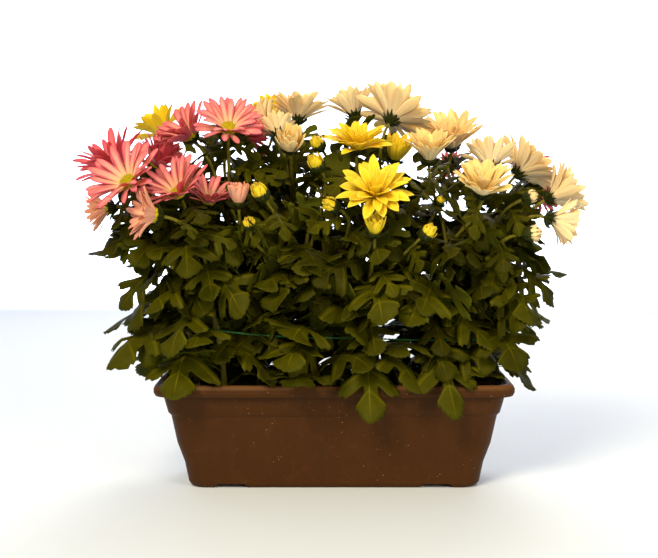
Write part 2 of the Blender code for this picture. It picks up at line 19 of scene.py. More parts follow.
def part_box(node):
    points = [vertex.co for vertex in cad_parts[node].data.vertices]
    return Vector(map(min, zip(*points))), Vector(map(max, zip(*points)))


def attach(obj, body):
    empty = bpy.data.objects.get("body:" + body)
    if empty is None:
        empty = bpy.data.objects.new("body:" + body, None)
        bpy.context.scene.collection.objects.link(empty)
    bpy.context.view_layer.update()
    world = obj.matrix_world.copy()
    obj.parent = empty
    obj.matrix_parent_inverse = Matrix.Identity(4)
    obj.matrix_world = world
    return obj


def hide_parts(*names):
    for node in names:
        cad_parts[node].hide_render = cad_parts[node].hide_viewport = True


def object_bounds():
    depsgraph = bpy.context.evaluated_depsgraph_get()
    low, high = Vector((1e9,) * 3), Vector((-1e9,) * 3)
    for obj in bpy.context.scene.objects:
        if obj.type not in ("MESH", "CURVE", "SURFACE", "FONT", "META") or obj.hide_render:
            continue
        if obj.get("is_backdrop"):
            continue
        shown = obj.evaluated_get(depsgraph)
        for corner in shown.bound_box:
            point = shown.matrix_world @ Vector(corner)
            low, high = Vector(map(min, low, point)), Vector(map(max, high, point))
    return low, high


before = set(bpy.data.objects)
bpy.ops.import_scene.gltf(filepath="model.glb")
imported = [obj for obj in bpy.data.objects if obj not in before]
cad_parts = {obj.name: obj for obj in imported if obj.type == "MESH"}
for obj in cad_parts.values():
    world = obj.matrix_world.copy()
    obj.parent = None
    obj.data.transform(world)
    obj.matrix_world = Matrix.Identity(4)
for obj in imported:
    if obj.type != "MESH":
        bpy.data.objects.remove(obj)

MM = 0.001
CAD_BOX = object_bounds()
TROUGH_LOW, TROUGH_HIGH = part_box("window_box")
RIM_HEIGHT = TROUGH_HIGH.z
print("frame:", len(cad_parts), "nodes, box", [tuple(round(c, 3) for c in p) for p in CAD_BOX])

# %% [markdown]
# ## The camera
# The box is seen from the front with a short telephoto lens, a little above the flowers and
# tilted down by a few degrees, so the long front wall stays nearly square to the view. A
# wide lens from close by would swell the nearest petals and hide the ends of the trough.

# %% Camera
EYE_DISTANCE = 1.247                 # from the front rim to the lens
EYE_ABOVE_RIM = 0.1995
EYE_TILT = math.radians(90 - 4.42)   # upright would be 90 degrees
camera_data = bpy.data.cameras.new("camera")
camera_data.sensor_width = 36.0
camera_data.lens = 71.95
camera = bpy.data.objects.new("camera", camera_data)
camera.location = (-5 * MM, TROUGH_LOW.y - EYE_DISTANCE, RIM_HEIGHT + EYE_ABOVE_RIM)
camera.rotation_euler = (EYE_TILT, 0, 0)
bpy.context.scene.collection.objects.link(camera)
bpy.context.scene.camera = camera
print("camera:", [round(c, 3) for c in camera.location])

# %% [markdown]
# ## Floor and light
# A product table: a pale sweep with no edge in sight, a big soft key light from the upper
# left, a weaker fill from the right and a light from behind that thins the shadows. These
# three are warm, so the paint of the sweep is a little blue and comes out white, and a strong
# lamp lights the wall behind. The view transform is the plain one, which keeps white white.

# %% Floor and lights
def sweep_floor():
    """A floor that curves up into a wall behind the object."""
    bm = bmesh.new()
    bmesh.ops.create_grid(bm, x_segments=1, y_segments=1, size=6.0)
    for vert in bm.verts:             # far out to the sides and towards the viewer
        vert.co.x *= 6
        vert.co.y *= 6 if vert.co.y < 0 else 1
    back = [e for e in bm.edges if all(v.co.y > 5 for v in e.verts)]
    raised = bmesh.ops.extrude_edge_only(bm, edges=back)["geom"]
    for vert in (g for g in raised if isinstance(g, bmesh.types.BMVert)):
        vert.co.z += 8.0
    fold = [e for e in bm.edges if all(v.co.y > 5 and abs(v.co.z) < 0.01 for v in e.verts)]
    bmesh.ops.bevel(bm, geom=fold, offset=3.0, offset_type="OFFSET", segments=24, profile=0.5,
                    affect="EDGES", material=-1)
    mesh = bpy.data.meshes.new("floor")
    bm.to_mesh(mesh)
    bm.free()
    mesh.shade_smooth()
    floor = bpy.data.objects.new("floor", mesh)
    bpy.context.scene.collection.objects.link(floor)
    return floor


def soft_light(name, spot, target, size, power, colour):
    data = bpy.data.lights.new(name, "AREA")
    data.shape = "DISK"
    data.size = size
    data.energy = power
    data.color = colour
    light = bpy.data.objects.new(name, data)
    light.location = spot
    light.rotation_euler = (Vector(target) - Vector(spot)).to_track_quat("-Z", "Y").to_euler()
    bpy.context.scene.collection.objects.link(light)
    return light


floor = sweep_floor()
floor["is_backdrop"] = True
HEART = (0.0, 0.0, 0.25)
soft_light("key light", (-0.75, -1.8, 1.65), HEART, 0.9, 62.0, (1.0, 0.81, 0.50))
soft_light("fill light", (1.3, -1.7, 0.9), HEART, 1.2, 24.0, (1.0, 0.82, 0.54))
soft_light("back light", (0.4, 1.6, 1.8), HEART, 1.4, 34.0, (1.0, 0.84, 0.58))
soft_light("backdrop light", (0.0, 2.4, 2.2), (0.0, 6.0, 1.0), 3.0, 440.0, (1.0, 0.97, 0.94))
world = bpy.data.worlds.new("studio")
world.use_nodes = True
world.node_tree.nodes["Background"].inputs["Color"].default_value = (1.0, 0.90, 0.74, 1.0)
world.node_tree.nodes["Background"].inputs["Strength"].default_value = 0.4
bpy.context.scene.world = world
bpy.context.scene.view_settings.view_transform = "Standard"

# %% [markdown]
# ## Helpers for materials
# Colours are picked as sRGB hex values, the way a screen shows them, and shaders want linear
# light, so one function converts them. Another adds a node: a value goes into the socket of
# that name, and a socket given in place of a value becomes a link. The short ones below it
# are the node kinds that every surface here is made of.

# %% Material helpers
FACTOR, COLOUR_A, COLOUR_B, MIXED = 0, 6, 7, 2      # sockets of a Mix node set to colours


def linear(colour):
    channels = [int(colour[i:i + 2], 16) / 255 for i in (1, 3, 5)]
    return tuple(c / 12.92 if c <= 0.04045 else ((c + 0.055) / 1.055) ** 2.4
                 for c in channels) + (1.0,)


def new_material(name, **sockets):
    mat = bpy.data.materials.new(name)
    mat.use_nodes = True
    shader = mat.node_tree.nodes["Principled BSDF"]
    for socket, value in sockets.items():
        shader.inputs[socket.replace("_", " ")].default_value = value
    return mat, shader


def add(mat, kind, inputs, **settings):
    """Add one node with its settings, its input values and its links."""
    node = mat.node_tree.nodes.new(kind)
    for name, value in settings.items():
        setattr(node, name, value)
    for socket, value in inputs.items():
        if isinstance(value, bpy.types.NodeSocket):
            mat.node_tree.links.new(value, node.inputs[socket])
        else:
            node.inputs[socket].default_value = value
    return node


def mixed(mat, factor, first, second):
    """Blend two colours, each a hex value or a socket."""
    first, second = (linear(c) if isinstance(c, str) else c for c in (first, second))
    return add(mat, "ShaderNodeMix", {FACTOR: factor, COLOUR_A: first, COLOUR_B: second},
               data_type="RGBA").outputs[MIXED]


def ranged(mat, value, start, end, low=0.0, high=1.0, **settings):
    """Carry a value from the range start to end over to the range low to high."""
    return add(mat, "ShaderNodeMapRange",
               {"Value": value, "From Min": start, "From Max": end, "To Min": low,
                "To Max": high}, **settings).outputs["Result"]


def maths(mat, operation, *values):
    return add(mat, "ShaderNodeMath", dict(enumerate(values)), operation=operation).outputs[0]


def mottled(mat, place, size, detail, **inputs):
    """A noise whose blotches are about the given size across."""
    return add(mat, "ShaderNodeTexNoise", {"Vector": place, "Scale": 1 / size,
                                           "Detail": detail} | inputs).outputs["Fac"]


def stretched(mat, place, scale):
    return add(mat, "ShaderNodeMapping", {"Vector": place, "Scale": scale}).outputs["Vector"]


def own_place(mat):
    """The point of the surface, in metres."""
    return add(mat, "ShaderNodeTexCoord", {}).outputs["Object"]


def finish_surface(mat, shader, colour, height, strength, distance):
    """Link the colour, and a bump made from a height, to the shader."""
    relief = add(mat, "ShaderNodeBump", {"Height": height, "Strength": strength,
                                         "Distance": distance})
    mat.node_tree.links.new(colour, shader.inputs["Base Color"])
    mat.node_tree.links.new(relief.outputs["Normal"], shader.inputs["Normal"])


floor_material, _ = new_material("matt white paint", Roughness=0.9, Base_Color=linear("#d6e5ff"))
floor.data.materials.append(floor_material)
print("floor:", floor_material.name)

# %% [markdown]
# ## Brown polypropylene
# Window boxes are injection moulded in polypropylene: a waxy plastic with a satin skin, a
# fine moulded grain that breaks up reflections, and pale scuffs where it has been handled.
# A noise at grain size feeds the bump, a slow one mottles the colour, stretched streaks run
# down the walls where water has dried, and the top of the rim is painted paler: a painted
# highlight where the rolled rim catches the light.

# %% Plastic material
GRAIN = 0.8 * MM                     # drawn coarser than the real 0.2 mm, or it would not show
RIM_HIGHLIGHT_DEPTH = 5 * MM                # how far below its top the rim is painted paler, a painted highlight
plastic, shader = new_material("brown moulded polypropylene", Roughness=0.42, IOR=1.49,
                               Specular_IOR_Level=0.12)
spot = own_place(plastic)
cloud = mottled(plastic, spot, 45 * MM, 4.0)
streak = mottled(plastic, stretched(plastic, spot, (1.0, 1.0, 0.08)), 6 * MM, 3.0)
scuff = mottled(plastic, spot, 9 * MM, 8.0, Roughness=0.75)
body = mixed(plastic, cloud, "#381f06", "#422608")
dusty = mixed(plastic, ranged(plastic, streak, 0.5, 0.9, high=0.4), body, "#4f2c0f")
worn = mixed(plastic, ranged(plastic, scuff, 0.55, 0.8, high=0.5), dusty, "#5e3b1c")
# Painted highlight: the top few millimetres of the rim are painted paler, where the rolled rim
# catches the light.
height = add(plastic, "ShaderNodeSeparateXYZ", {"Vector": spot}).outputs["Z"]
rim_highlight_mask = ranged(plastic, height, RIM_HEIGHT - RIM_HIGHLIGHT_DEPTH, RIM_HEIGHT, high=0.55)
rim_highlighted = mixed(plastic, rim_highlight_mask, worn, "#7c5632")

# %% [markdown]
# ## Specks and gloss of the plastic
# Splashes of compost dry to pale specks, which lie in patches. Each cell of a cell pattern
# has one at its middle, and the slow mottling picks the patches. The same mottling varies
# the gloss.

# %% Plastic specks
cell = add(plastic, "ShaderNodeTexVoronoi", {"Vector": spot, "Scale": 1 / (6 * MM)})
speck = ranged(plastic, cell.outputs["Distance"], 0.11, 0.07, high=0.55)
specks = maths(plastic, "MULTIPLY", speck, ranged(plastic, cloud, 0.47, 0.6))
flecked = mixed(plastic, specks, rim_highlighted, "#a08466")
finish_surface(plastic, shader, flecked, mottled(plastic, spot, GRAIN, 2.0), 0.12, 0.2 * MM)
gloss = ranged(plastic, cloud, 0.0, 1.0, 0.44, 0.62)
plastic.node_tree.links.new(gloss, shader.inputs["Roughness"])
print("plastic:", len(plastic.node_tree.nodes), "nodes")

# %% [markdown]
# ## Petals
# A petal is a thin living film: silky, a little see-through, paler at its base, with fine
# veins that run its length and a deeper colour at its edge and tip. The veins and the fade
# follow the petal, so the material reads the petal's own UV map, where u crosses it and v
# runs from base to tip. A number called tone differs from petal to petal and keeps them from
# looking stamped, and one called under is 1 on the back of a petal.

# %% Petal materials
def blade_sockets(mat):
    """What both blade materials read: u and v, the way from the middle, tone and under."""
    place = add(mat, "ShaderNodeUVMap", {}, uv_map="petal").outputs["UV"]
    parts = add(mat, "ShaderNodeSeparateXYZ", {"Vector": place}).outputs
    off_centre = maths(mat, "ABSOLUTE", maths(mat, "SUBTRACT", parts["X"], 0.5))
    tone, under = (add(mat, "ShaderNodeAttribute", {}, attribute_name=name).outputs["Fac"]
                   for name in ("tone", "under"))
    return parts["X"], parts["Y"], off_centre, tone, under


def scaled(mat, colour, factor):
    return add(mat, "ShaderNodeVectorMath", {0: colour, "Scale": factor},
               operation="SCALE").outputs["Vector"]


def petal_material(name, base, middle, edge, back):
    mat, shader = new_material(name, Roughness=0.5, Subsurface_Weight=0.5,
                               Subsurface_Scale=0.002, Subsurface_Radius=(1.0, 0.7, 0.4),
                               Specular_IOR_Level=0.15)
    u, v, off_centre, tone, under = blade_sockets(mat)
    fade = ranged(mat, v, 0.05, 0.62, interpolation_type="SMOOTHSTEP")
    rim = ranged(mat, off_centre, 0.12, 0.5, interpolation_type="SMOOTHSTEP")
    rim_or_tip = maths(mat, "MAXIMUM", rim, ranged(mat, v, 0.6, 1.05, high=0.8))
    shifted = add(mat, "ShaderNodeCombineXYZ", {"X": u, "Y": v, "Z": tone}).outputs["Vector"]
    veins = mottled(mat, stretched(mat, shifted, (9.0, 0.6, 40.0)), 1.0, 3.0)
    body = mixed(mat, fade, base, middle)
    edged = mixed(mat, maths(mat, "MULTIPLY", rim_or_tip, fade), body, edge)
    two_sided = mixed(mat, under, edged, back)
    shade = maths(mat, "MULTIPLY", ranged(mat, veins, 0.3, 0.7, 0.84, 1.08),
                  ranged(mat, tone, 0.0, 1.0, 0.9, 1.06))
    finish_surface(mat, shader, scaled(mat, two_sided, shade), veins, 0.35, 0.3 * MM)
    return mat


petal_materials = {
    "pink": petal_material("pink petal", "#f0c49e", "#e89892", "#c4486a", "#d06476"),
    "magenta": petal_material("deep pink petal", "#f4b89c", "#e06c78", "#b63c62", "#c44e64"),
    "peach": petal_material("peach petal", "#f6d8a8", "#f0b898", "#dc8480", "#eaa690"),
    "yellow": petal_material("yellow petal", "#d6b814", "#f2cc28", "#f8d644", "#f4d02c"),
    "cream": petal_material("cream petal", "#e2ca70", "#f6d09c", "#f4c488", "#ffe0b4"),
    "lemon": petal_material("lemon white petal", "#ccc04c", "#ecd084", "#f6d29a", "#fbdea6"),
}
print("petals:", len(petal_materials), "colours")

# %% [markdown]
# ## Green skin
# Chrysanthemum leaves are soft and matt with a faint bloom, dark olive above, with a paler
# midrib and side veins that run out into the lobes. The vein pattern lives in the leaf's UV
# map: u is the way across and v counts its rows, which fan forward into the lobes, so a side
# vein is simply a row, and the lobes come at even steps of v.

# %% Leaf material
FIRST_VEIN, VEIN_STEP = 0.21, 0.1425                # of v


def leaf_material():
    mat, shader = new_material("chrysanthemum leaf", Roughness=0.55, Subsurface_Weight=0.05,
                               Subsurface_Radius=(0.002, 0.003, 0.001),
                               Specular_IOR_Level=0.05)
    _, v, off_centre, tone, under = blade_sockets(mat)
    midrib = ranged(mat, off_centre, 0.03, 0.012, high=0.8)
    nearest = maths(mat, "PINGPONG", maths(mat, "ADD", v, -FIRST_VEIN), VEIN_STEP)
    vein = maths(mat, "MAXIMUM", midrib, ranged(mat, nearest, 0.016, 0.005, high=0.4))
    spot = own_place(mat)
    cells = add(mat, "ShaderNodeTexVoronoi", {"Vector": spot, "Scale": 1 / (2.2 * MM)})
    body = mixed(mat, mottled(mat, spot, 14 * MM, 5.0), "#272a01", "#464602")
    two_sided = mixed(mat, under, mixed(mat, vein, body, "#5c5a0c"), "#464a0c")
    colour = scaled(mat, two_sided, ranged(mat, tone, 0.0, 1.0, 0.5, 1.15))
    dent = maths(mat, "MULTIPLY_ADD", vein, -0.8, cells.outputs["Distance"])
    finish_surface(mat, shader, colour, dent, 0.3, 0.5 * MM)
    return mat


green_leaf = leaf_material()
print("leaf:", len(green_leaf.node_tree.nodes), "nodes")

# %% [markdown]
# ## Plain plant, soil and twine surfaces
# Stems, calyxes, florets, compost, peat and twine are small or dark, so two shades and a
# bump from one noise are enough. Stretching the noise makes the fibres of a stem. The two
# soils are damp crumbs that hold no gloss at all.

# %% Plain materials
SOIL_ROUGHNESS = 0.9                 # from here on a surface has no gloss


def plain_plant_material(name, dark, light, grain_mm, stretch, roughness):
    """A natural surface in two shades, mottled by a noise that may be stretched upwards."""
    specular = 0.15 if roughness < SOIL_ROUGHNESS else 0.0
    mat, shader = new_material(name, Roughness=roughness, Specular_IOR_Level=specular)
    place = stretched(mat, own_place(mat), (1.0, 1.0, stretch))
    mottle = mottled(mat, place, grain_mm * MM, 5.0)
    colour = mixed(mat, ranged(mat, mottle, 0.32, 0.68), dark, light)
    finish_surface(mat, shader, colour, mottle, 0.5, 0.25 * grain_mm * MM)
    return mat


green_stem = plain_plant_material("chrysanthemum stem", "#4c4b0c", "#757020", 3.0, 0.12, 0.5)
green_calyx = plain_plant_material("flower calyx", "#171f05", "#333a0e", 2.5, 0.4, 0.6)
disc_floret = plain_plant_material("disc floret", "#8e860a", "#c6b61c", 1.5, 1.0, 0.6)
disc_cream = plain_plant_material("young floret", "#a09c18", "#d6c842", 1.5, 1.0, 0.6)
compost = plain_plant_material("peat compost", "#0b0704", "#241810", 5.0, 1.0, 0.95)
peat = plain_plant_material("root ball peat", "#1a1109", "#463524", 4.0, 1.0, 0.95)
twine_green = plain_plant_material("green garden twine", "#1e4a26", "#3c7a3e", 1.2, 1.0, 0.6)
print("materials:", len(bpy.data.materials))

# %% [markdown]
# ## Helpers for pieces
# Every new piece ends the same way: its mesh becomes an object at the origin, it rides on
# the model's only body, it gets its material, and the design nodes that it stands for are
# hidden. One function does all of that.

# %% Finishing a piece
def finish_piece(name, mesh, mat, replaces=()):
    mesh.name = name
    mesh.materials.clear()
    mesh.materials.append(mat)
    piece = bpy.data.objects.new(name, mesh)
    bpy.context.scene.collection.objects.link(piece)
    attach(piece, "root")
    if replaces:
        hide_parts(*replaces)
    return piece


def to_mesh(bm, sharp_above=None):
    """Turn a bmesh into a smooth mesh, with a crease wherever the angle passes a limit."""
    bmesh.ops.recalc_face_normals(bm, faces=bm.faces[:])
    mesh = bpy.data.meshes.new("piece")
    bm.to_mesh(mesh)
    bm.free()
    mesh.shade_smooth()
    if sharp_above:
        mesh.set_sharp_from_angle(angle=math.radians(sharp_above))
    return mesh


def baked(obj):
    """The mesh of an object with its modifiers or its curve bevel applied; the object goes."""
    depsgraph = bpy.context.evaluated_depsgraph_get()
    mesh = bpy.data.meshes.new_from_object(obj.evaluated_get(depsgraph))
    bpy.data.objects.remove(obj)
    return mesh


def merged_copy(node):
    """A design node's mesh with the corners of its loose triangles joined."""
    bm = bmesh.new()
    bm.from_mesh(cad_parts[node].data)
    bmesh.ops.remove_doubles(bm, verts=bm.verts[:], dist=0.01 * MM)
    return bm


def lerp_table(table, x):
    """Read a list of (x, value) pairs at x, in straight lines between them."""
    for (x0, y0), (x1, y1) in zip(table, table[1:]):
        if x <= x1:
            return y0 + (y1 - y0) * (x - x0) / (x1 - x0)
    return table[-1][1]

# %% [markdown]
# ## The trough
# Moulded troughs taper, so that they nest in a stack and leave their mould. A stepped collar
# stiffens the wall under a rolled rim. A rounded rectangle is drawn at the foot and extruded
# level by level, and at each level its corners shift outwards by the wall's lean, so the
# corner radius stays the same all the way up, as a mould maker would have it.

# %% Trough levels
# (height, how far the end wall stands in from the rim's outer edge), in millimetres
OUTER_LEVELS = [(0, 36.5), (1.5, 33), (5, 31), (25, 27.3), (45, 20.8), (73, 15.5),
                (76, 12.8), (93, 8.6), (93.8, 1.5), (97, 0), (101, 0), (104, 1.5), (105, 4)]
INNER_LEVELS = [(2.5, 36), (6.5, 33), (25, 29.5), (45, 23), (73, 17.7), (76, 15),
                (95, 10.8), (103.5, 8), (105, 7)]
CORNER_RADIUS = 16 * MM
SIDE_SHARE = 0.8                     # the long sides lean in less than the ends do
HALF_LENGTH = TROUGH_HIGH.x
HALF_DEPTH = TROUGH_HIGH.y


def rounded_rectangle(bm, height, inset, steps=10):
    """A flat face with round corners."""
    half = Vector((HALF_LENGTH - inset, HALF_DEPTH - SIDE_SHARE * inset, 1))
    place = Matrix.Translation((0, 0, height)) @ Matrix.Diagonal((*half, 1))
    made = bmesh.ops.create_grid(bm, x_segments=1, y_segments=1, size=1.0, matrix=place)
    bmesh.ops.bevel(bm, geom=made["verts"], offset=CORNER_RADIUS, offset_type="OFFSET",
                    segments=steps, profile=0.5, affect="VERTICES", material=-1)
    return max(bm.faces, key=lambda f: f.calc_center_median().z)


def grow_levels(levels):
    """A closed block that follows a list of (height, inset) levels."""
    bm = bmesh.new()
    levels = [(z * MM, inset * MM) for z, inset in levels]
    face = rounded_rectangle(bm, *levels[0])
    for (z0, in0), (z1, in1) in zip(levels, levels[1:]):
        made = bmesh.ops.extrude_face_region(bm, geom=[face], use_keep_orig=True)
        if z0 > levels[0][0]:         # of the faces between levels only the lowest stays
            bmesh.ops.delete(bm, geom=[face], context="FACES_ONLY")
        face = next(g for g in made["geom"] if isinstance(g, bmesh.types.BMFace))
        for vert in face.verts:
            vert.co.x += (in0 - in1) * math.copysign(1, vert.co.x)
            vert.co.y += (in0 - in1) * math.copysign(SIDE_SHARE, vert.co.y)
            vert.co.z += z1 - z0
    bmesh.ops.recalc_face_normals(bm, faces=bm.faces[:])
    return bm


def scratch_object(name, mesh):
    obj = bpy.data.objects.new(name, mesh)
    bpy.context.scene.collection.objects.link(obj)
    return obj


def cut_away(obj, cutter):
    modifier = obj.modifiers.new("cut", "BOOLEAN")
    modifier.solver = "EXACT"
    modifier.object = cutter


print("wall levels:", len(OUTER_LEVELS), "outside,", len(INNER_LEVELS), "inside")

# %% [markdown]
# ## Channels, drains and hollow
# Two channels cross the underside and hold a drain hole at each end, so that water runs off
# a flat sill. The floor rises over them by the thickness of the wall. The hollow, the
# channels and the holes are cut from the outer block, and the folds of the collar are
# rounded first, as a mould's edges are.

# %% Trough
CHANNEL_X, DRAIN_Y, DRAIN_RADIUS = 101 * MM, 26 * MM, 5 * MM
CHANNEL_BAR = (17 * MM, 4 * MM, 4 * MM)             # half width, height, slope of its sides
FLOOR_BAR = (19.5 * MM, 6.5 * MM, 4 * MM)           # the same, with the wall round it
BAR_HEIGHT = 20 * MM
FOLD_RADIUS, FOLD_ANGLE, CREASE_ANGLE = 0.45 * MM, math.radians(25), math.radians(14)


def bars(half_width, top, slope):
    """Two long bars across the underside, narrower at their tops."""
    bm = bmesh.new()
    for side in (-1, 1):
        size = Matrix.Diagonal((2 * half_width, 4 * HALF_DEPTH, BAR_HEIGHT, 1))
        place = Matrix.Translation((side * CHANNEL_X, 0, top - BAR_HEIGHT / 2))
        made = bmesh.ops.create_cube(bm, size=1.0, matrix=place @ size)
        for vert in made["verts"]:
            if vert.co.z > top - MM:
                vert.co.x -= math.copysign(slope, vert.co.x - side * CHANNEL_X)
            else:
                vert.co.x += math.copysign(4 * slope, vert.co.x - side * CHANNEL_X)
    return to_mesh(bm)


hollow = scratch_object("hollow", to_mesh(grow_levels(INNER_LEVELS + [(112, 7)])))
inner_bars = scratch_object("inner bars", bars(*FLOOR_BAR))
cut_away(hollow, inner_bars)
channels = scratch_object("channels", bars(*CHANNEL_BAR))
drains = bmesh.new()
for x in (-CHANNEL_X, CHANNEL_X):
    for y in (-DRAIN_Y, DRAIN_Y):
        bmesh.ops.create_cone(drains, cap_ends=True, segments=32, radius1=DRAIN_RADIUS,
                              radius2=DRAIN_RADIUS, depth=10 * MM,
                              matrix=Matrix.Translation((x, y, 0)))
drains = scratch_object("drains", to_mesh(drains))
block = grow_levels(OUTER_LEVELS)
folds = [e for e in block.edges if e.calc_face_angle(0) > FOLD_ANGLE]
bmesh.ops.bevel(block, geom=folds, offset=FOLD_RADIUS, offset_type="OFFSET", segments=2,
                profile=0.5, affect="EDGES", clamp_overlap=True, material=-1)
trough = scratch_object("trough", to_mesh(block))
for cutter in (channels, hollow, drains):
    cut_away(trough, cutter)
trough_mesh = baked(trough)
for cutter in (channels, hollow, inner_bars, drains):
    bpy.data.objects.remove(cutter)
trough_mesh.shade_smooth()
trough_mesh.set_sharp_from_angle(angle=CREASE_ANGLE)
finish_piece("trough", trough_mesh, plastic, ["window_box"])
print("trough:", len(trough_mesh.polygons), "faces")

# %% [markdown]
# ## Compost and root balls
# Pot plants are dropped into the trough with their root balls whole, and loose compost is
# packed round them. The slab is a fine grid pressed into the trough's rounded shape, raised
# by a noise and closed by a skirt that runs down inside the walls.

# %% Compost
SOIL_TOP = 90 * MM
BALLS = {n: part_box(n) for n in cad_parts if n.startswith("root_ball")}
BALL_CENTRES = {n: (low + high) / 2 for n, (low, high) in BALLS.items()}
BALL_RADIUS = max((high.x - low.x) / 2 for low, high in BALLS.values())


def lumps(x, y, size, height, seed):
    """A bumpy height at a place, from two sizes of noise."""
    spot = Vector((x / size, y / size, seed))
    return height * (noise.noise(spot) + 0.5 * noise.noise(spot * 2.7))


def inner_inset(z):
    return lerp_table(INNER_LEVELS, z / MM) * MM + 0.8 * MM


def soil_height(x, y):
    near = min(math.hypot(x - c.x, y - c.y) for c in BALL_CENTRES.values())
    if near < BALL_RADIUS - 3 * MM:
        return SOIL_TOP - 3 * MM
    return SOIL_TOP + lumps(x, y, 11 * MM, 3.2 * MM, 1.7)


slab = bmesh.new()
bmesh.ops.create_grid(slab, x_segments=130, y_segments=52, size=1.0)
rim = [e for e in slab.edges if e.is_boundary]
inset = inner_inset(SOIL_TOP)
reach = Vector((HALF_LENGTH - inset, HALF_DEPTH - SIDE_SHARE * inset))
for vert in slab.verts:
    x, y = vert.co.x * reach.x, vert.co.y * reach.y
    over_x = abs(x) - (reach.x - CORNER_RADIUS)
    over_y = abs(y) - (reach.y - CORNER_RADIUS)
    if over_x > 0 and over_y > 0:     # pull the square corners in to a round one
        pull = max(over_x, over_y) / math.hypot(over_x, over_y)
        x -= math.copysign(over_x * (1 - pull), x)
        y -= math.copysign(over_y * (1 - pull), y)
    vert.co = (x, y, soil_height(x, y))
for drop_to in (70 * MM, 45 * MM, 25 * MM, 8 * MM):
    made = bmesh.ops.extrude_edge_only(slab, edges=rim)["geom"]
    now = inner_inset(drop_to)
    for vert in (g for g in made if isinstance(g, bmesh.types.BMVert)):
        vert.co.x -= math.copysign(now - inset, vert.co.x)
        vert.co.y -= math.copysign(SIDE_SHARE * (now - inset), vert.co.y)
        vert.co.z = drop_to
    inset = now
    rim = [g for g in made if isinstance(g, bmesh.types.BMEdge) and g.is_boundary]
bmesh.ops.edgeloop_fill(slab, edges=rim)
print("compost bed:", len(slab.faces), "faces")

# %% [markdown]
# ## Crumbs and bark chips
# The surface of potting compost is loose: crumbs and flat chips lie half sunk in it, turned
# every way. Each one is a small squashed ball, because only the outline shows at this size.

# %% Crumbs
CRUMBS = 520
chance = random.Random(11)
for _ in range(CRUMBS):
    x = chance.uniform(-1, 1) * (reach.x - 8 * MM)
    y = chance.uniform(-1, 1) * (reach.y - 8 * MM)
    size = chance.uniform(1.0, 3.2) * MM
    stretch = Matrix.Diagonal((size, size * chance.uniform(0.5, 1), size * 0.6, 1))
    turn = Matrix.Rotation(chance.uniform(0, math.tau), 4, "Z")
    tip = Matrix.Rotation(chance.uniform(-0.6, 0.6), 4, "X")
    place = Matrix.Translation((x, y, max(soil_height(x, y), SOIL_TOP) + 0.3 * size))
    bmesh.ops.create_icosphere(slab, subdivisions=1, radius=1.0,
                               matrix=place @ turn @ tip @ stretch)
finish_piece("compost_bed", to_mesh(slab, 60), compost, ["potting_soil"])
print("compost:", CRUMBS, "crumbs")

# %% [markdown]
# ## Root balls
# A root ball keeps the taper of the pot that it grew in. Each is a cone with rings of faces
# across its top, so that the top can be domed and lumpy like the compost round it.

# %% Root balls
BALL_FOOT_RADIUS = 36 * MM
for name, centre in BALL_CENTRES.items():
    low, high = BALLS[name]
    ball = bmesh.new()
    bmesh.ops.create_cone(ball, cap_ends=True, cap_tris=False, segments=48,
                          radius1=BALL_FOOT_RADIUS, radius2=BALL_RADIUS, depth=high.z - low.z,
                          matrix=Matrix.Translation(centre))
    lid = max(ball.faces, key=lambda f: f.calc_center_median().z)
    for _ in range(10):
        bmesh.ops.inset_individual(ball, faces=[lid], thickness=3.6 * MM)
    for vert in ball.verts:
        if vert.co.z > SOIL_TOP - MM:
            away = math.hypot(vert.co.x - centre.x, vert.co.y)
            domed = 2.5 * MM * (1 - (away / BALL_RADIUS) ** 2)
            vert.co.z += lumps(vert.co.x, vert.co.y, 8 * MM, 2.0 * MM, 5.1) + domed - 0.8 * MM
    finish_piece(name + "_peat", to_mesh(ball, 60), peat, [name])
print("root balls:", len(BALLS))

# %% [markdown]
# ## Support twine
# Green polypropylene twine is looped round the stems, so that the heavy heads don't flop
# over the rim. It is two strands laid round each other. Each strand is a closed curve with a
# round bevel that winds about the design model's loop, half a turn apart from the other.

# %% Twine
TWINE_LOW, TWINE_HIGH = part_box("support_twine")
TWINE_REACH = ((TWINE_HIGH - TWINE_LOW) / 2).to_2d() - Vector((0.9, 0.9)) * MM
TWINE_TURNS, TWINE_POINTS, STRAND_OFFSET = 170, 1700, 0.45 * MM


def loop_point(angle):
    c, s = math.cos(angle), math.sin(angle)
    return Vector((TWINE_REACH.x * math.copysign(abs(c) ** 0.6, c),
                   TWINE_REACH.y * math.copysign(abs(s) ** 0.5, s),
                   (157 - 9 * c - 7 * s * s) * MM))


strands = bpy.data.curves.new("twine", "CURVE")
strands.dimensions = "3D"
strands.bevel_depth = 0.5 * MM
strands.bevel_resolution = 1
for phase in (0, math.pi):
    spline = strands.splines.new("POLY")
    spline.points.add(TWINE_POINTS - 1)
    spline.use_cyclic_u = True
    for k, point in enumerate(spline.points):
        angle = math.tau * (k + 0.5) / TWINE_POINTS
        here = loop_point(angle)
        ahead = (loop_point(angle + 0.002) - loop_point(angle - 0.002)).normalized()
        side = ahead.cross(Vector((0, 0, 1))).normalized()
        wind = TWINE_TURNS * angle + phase
        here += (side * math.cos(wind) + ahead.cross(side) * math.sin(wind)) * STRAND_OFFSET
        point.co = (*here, 1)
twine_mesh = baked(scratch_object("twine curve", strands))
twine_mesh.shade_smooth()
finish_piece("twine_loop", twine_mesh, twine_green, ["support_twine"])
print("twine:", len(twine_mesh.polygons), "faces")

# %% [markdown]
# ## Reading the flower heads
# Each head of the design model is a turned solid, so its own shape says all that a flower
# needs. The axis is the one direction in which its spread differs from the other two. The
# calyx is at the pole whose neighbours are nearest. The widest ring gives the reach and the
# rise of the petals.

# %% Head frames
CALYX_DEPTH, HALF_OPEN_DEPTH, BUD_SHARE = 8 * MM, 7 * MM, 1.2


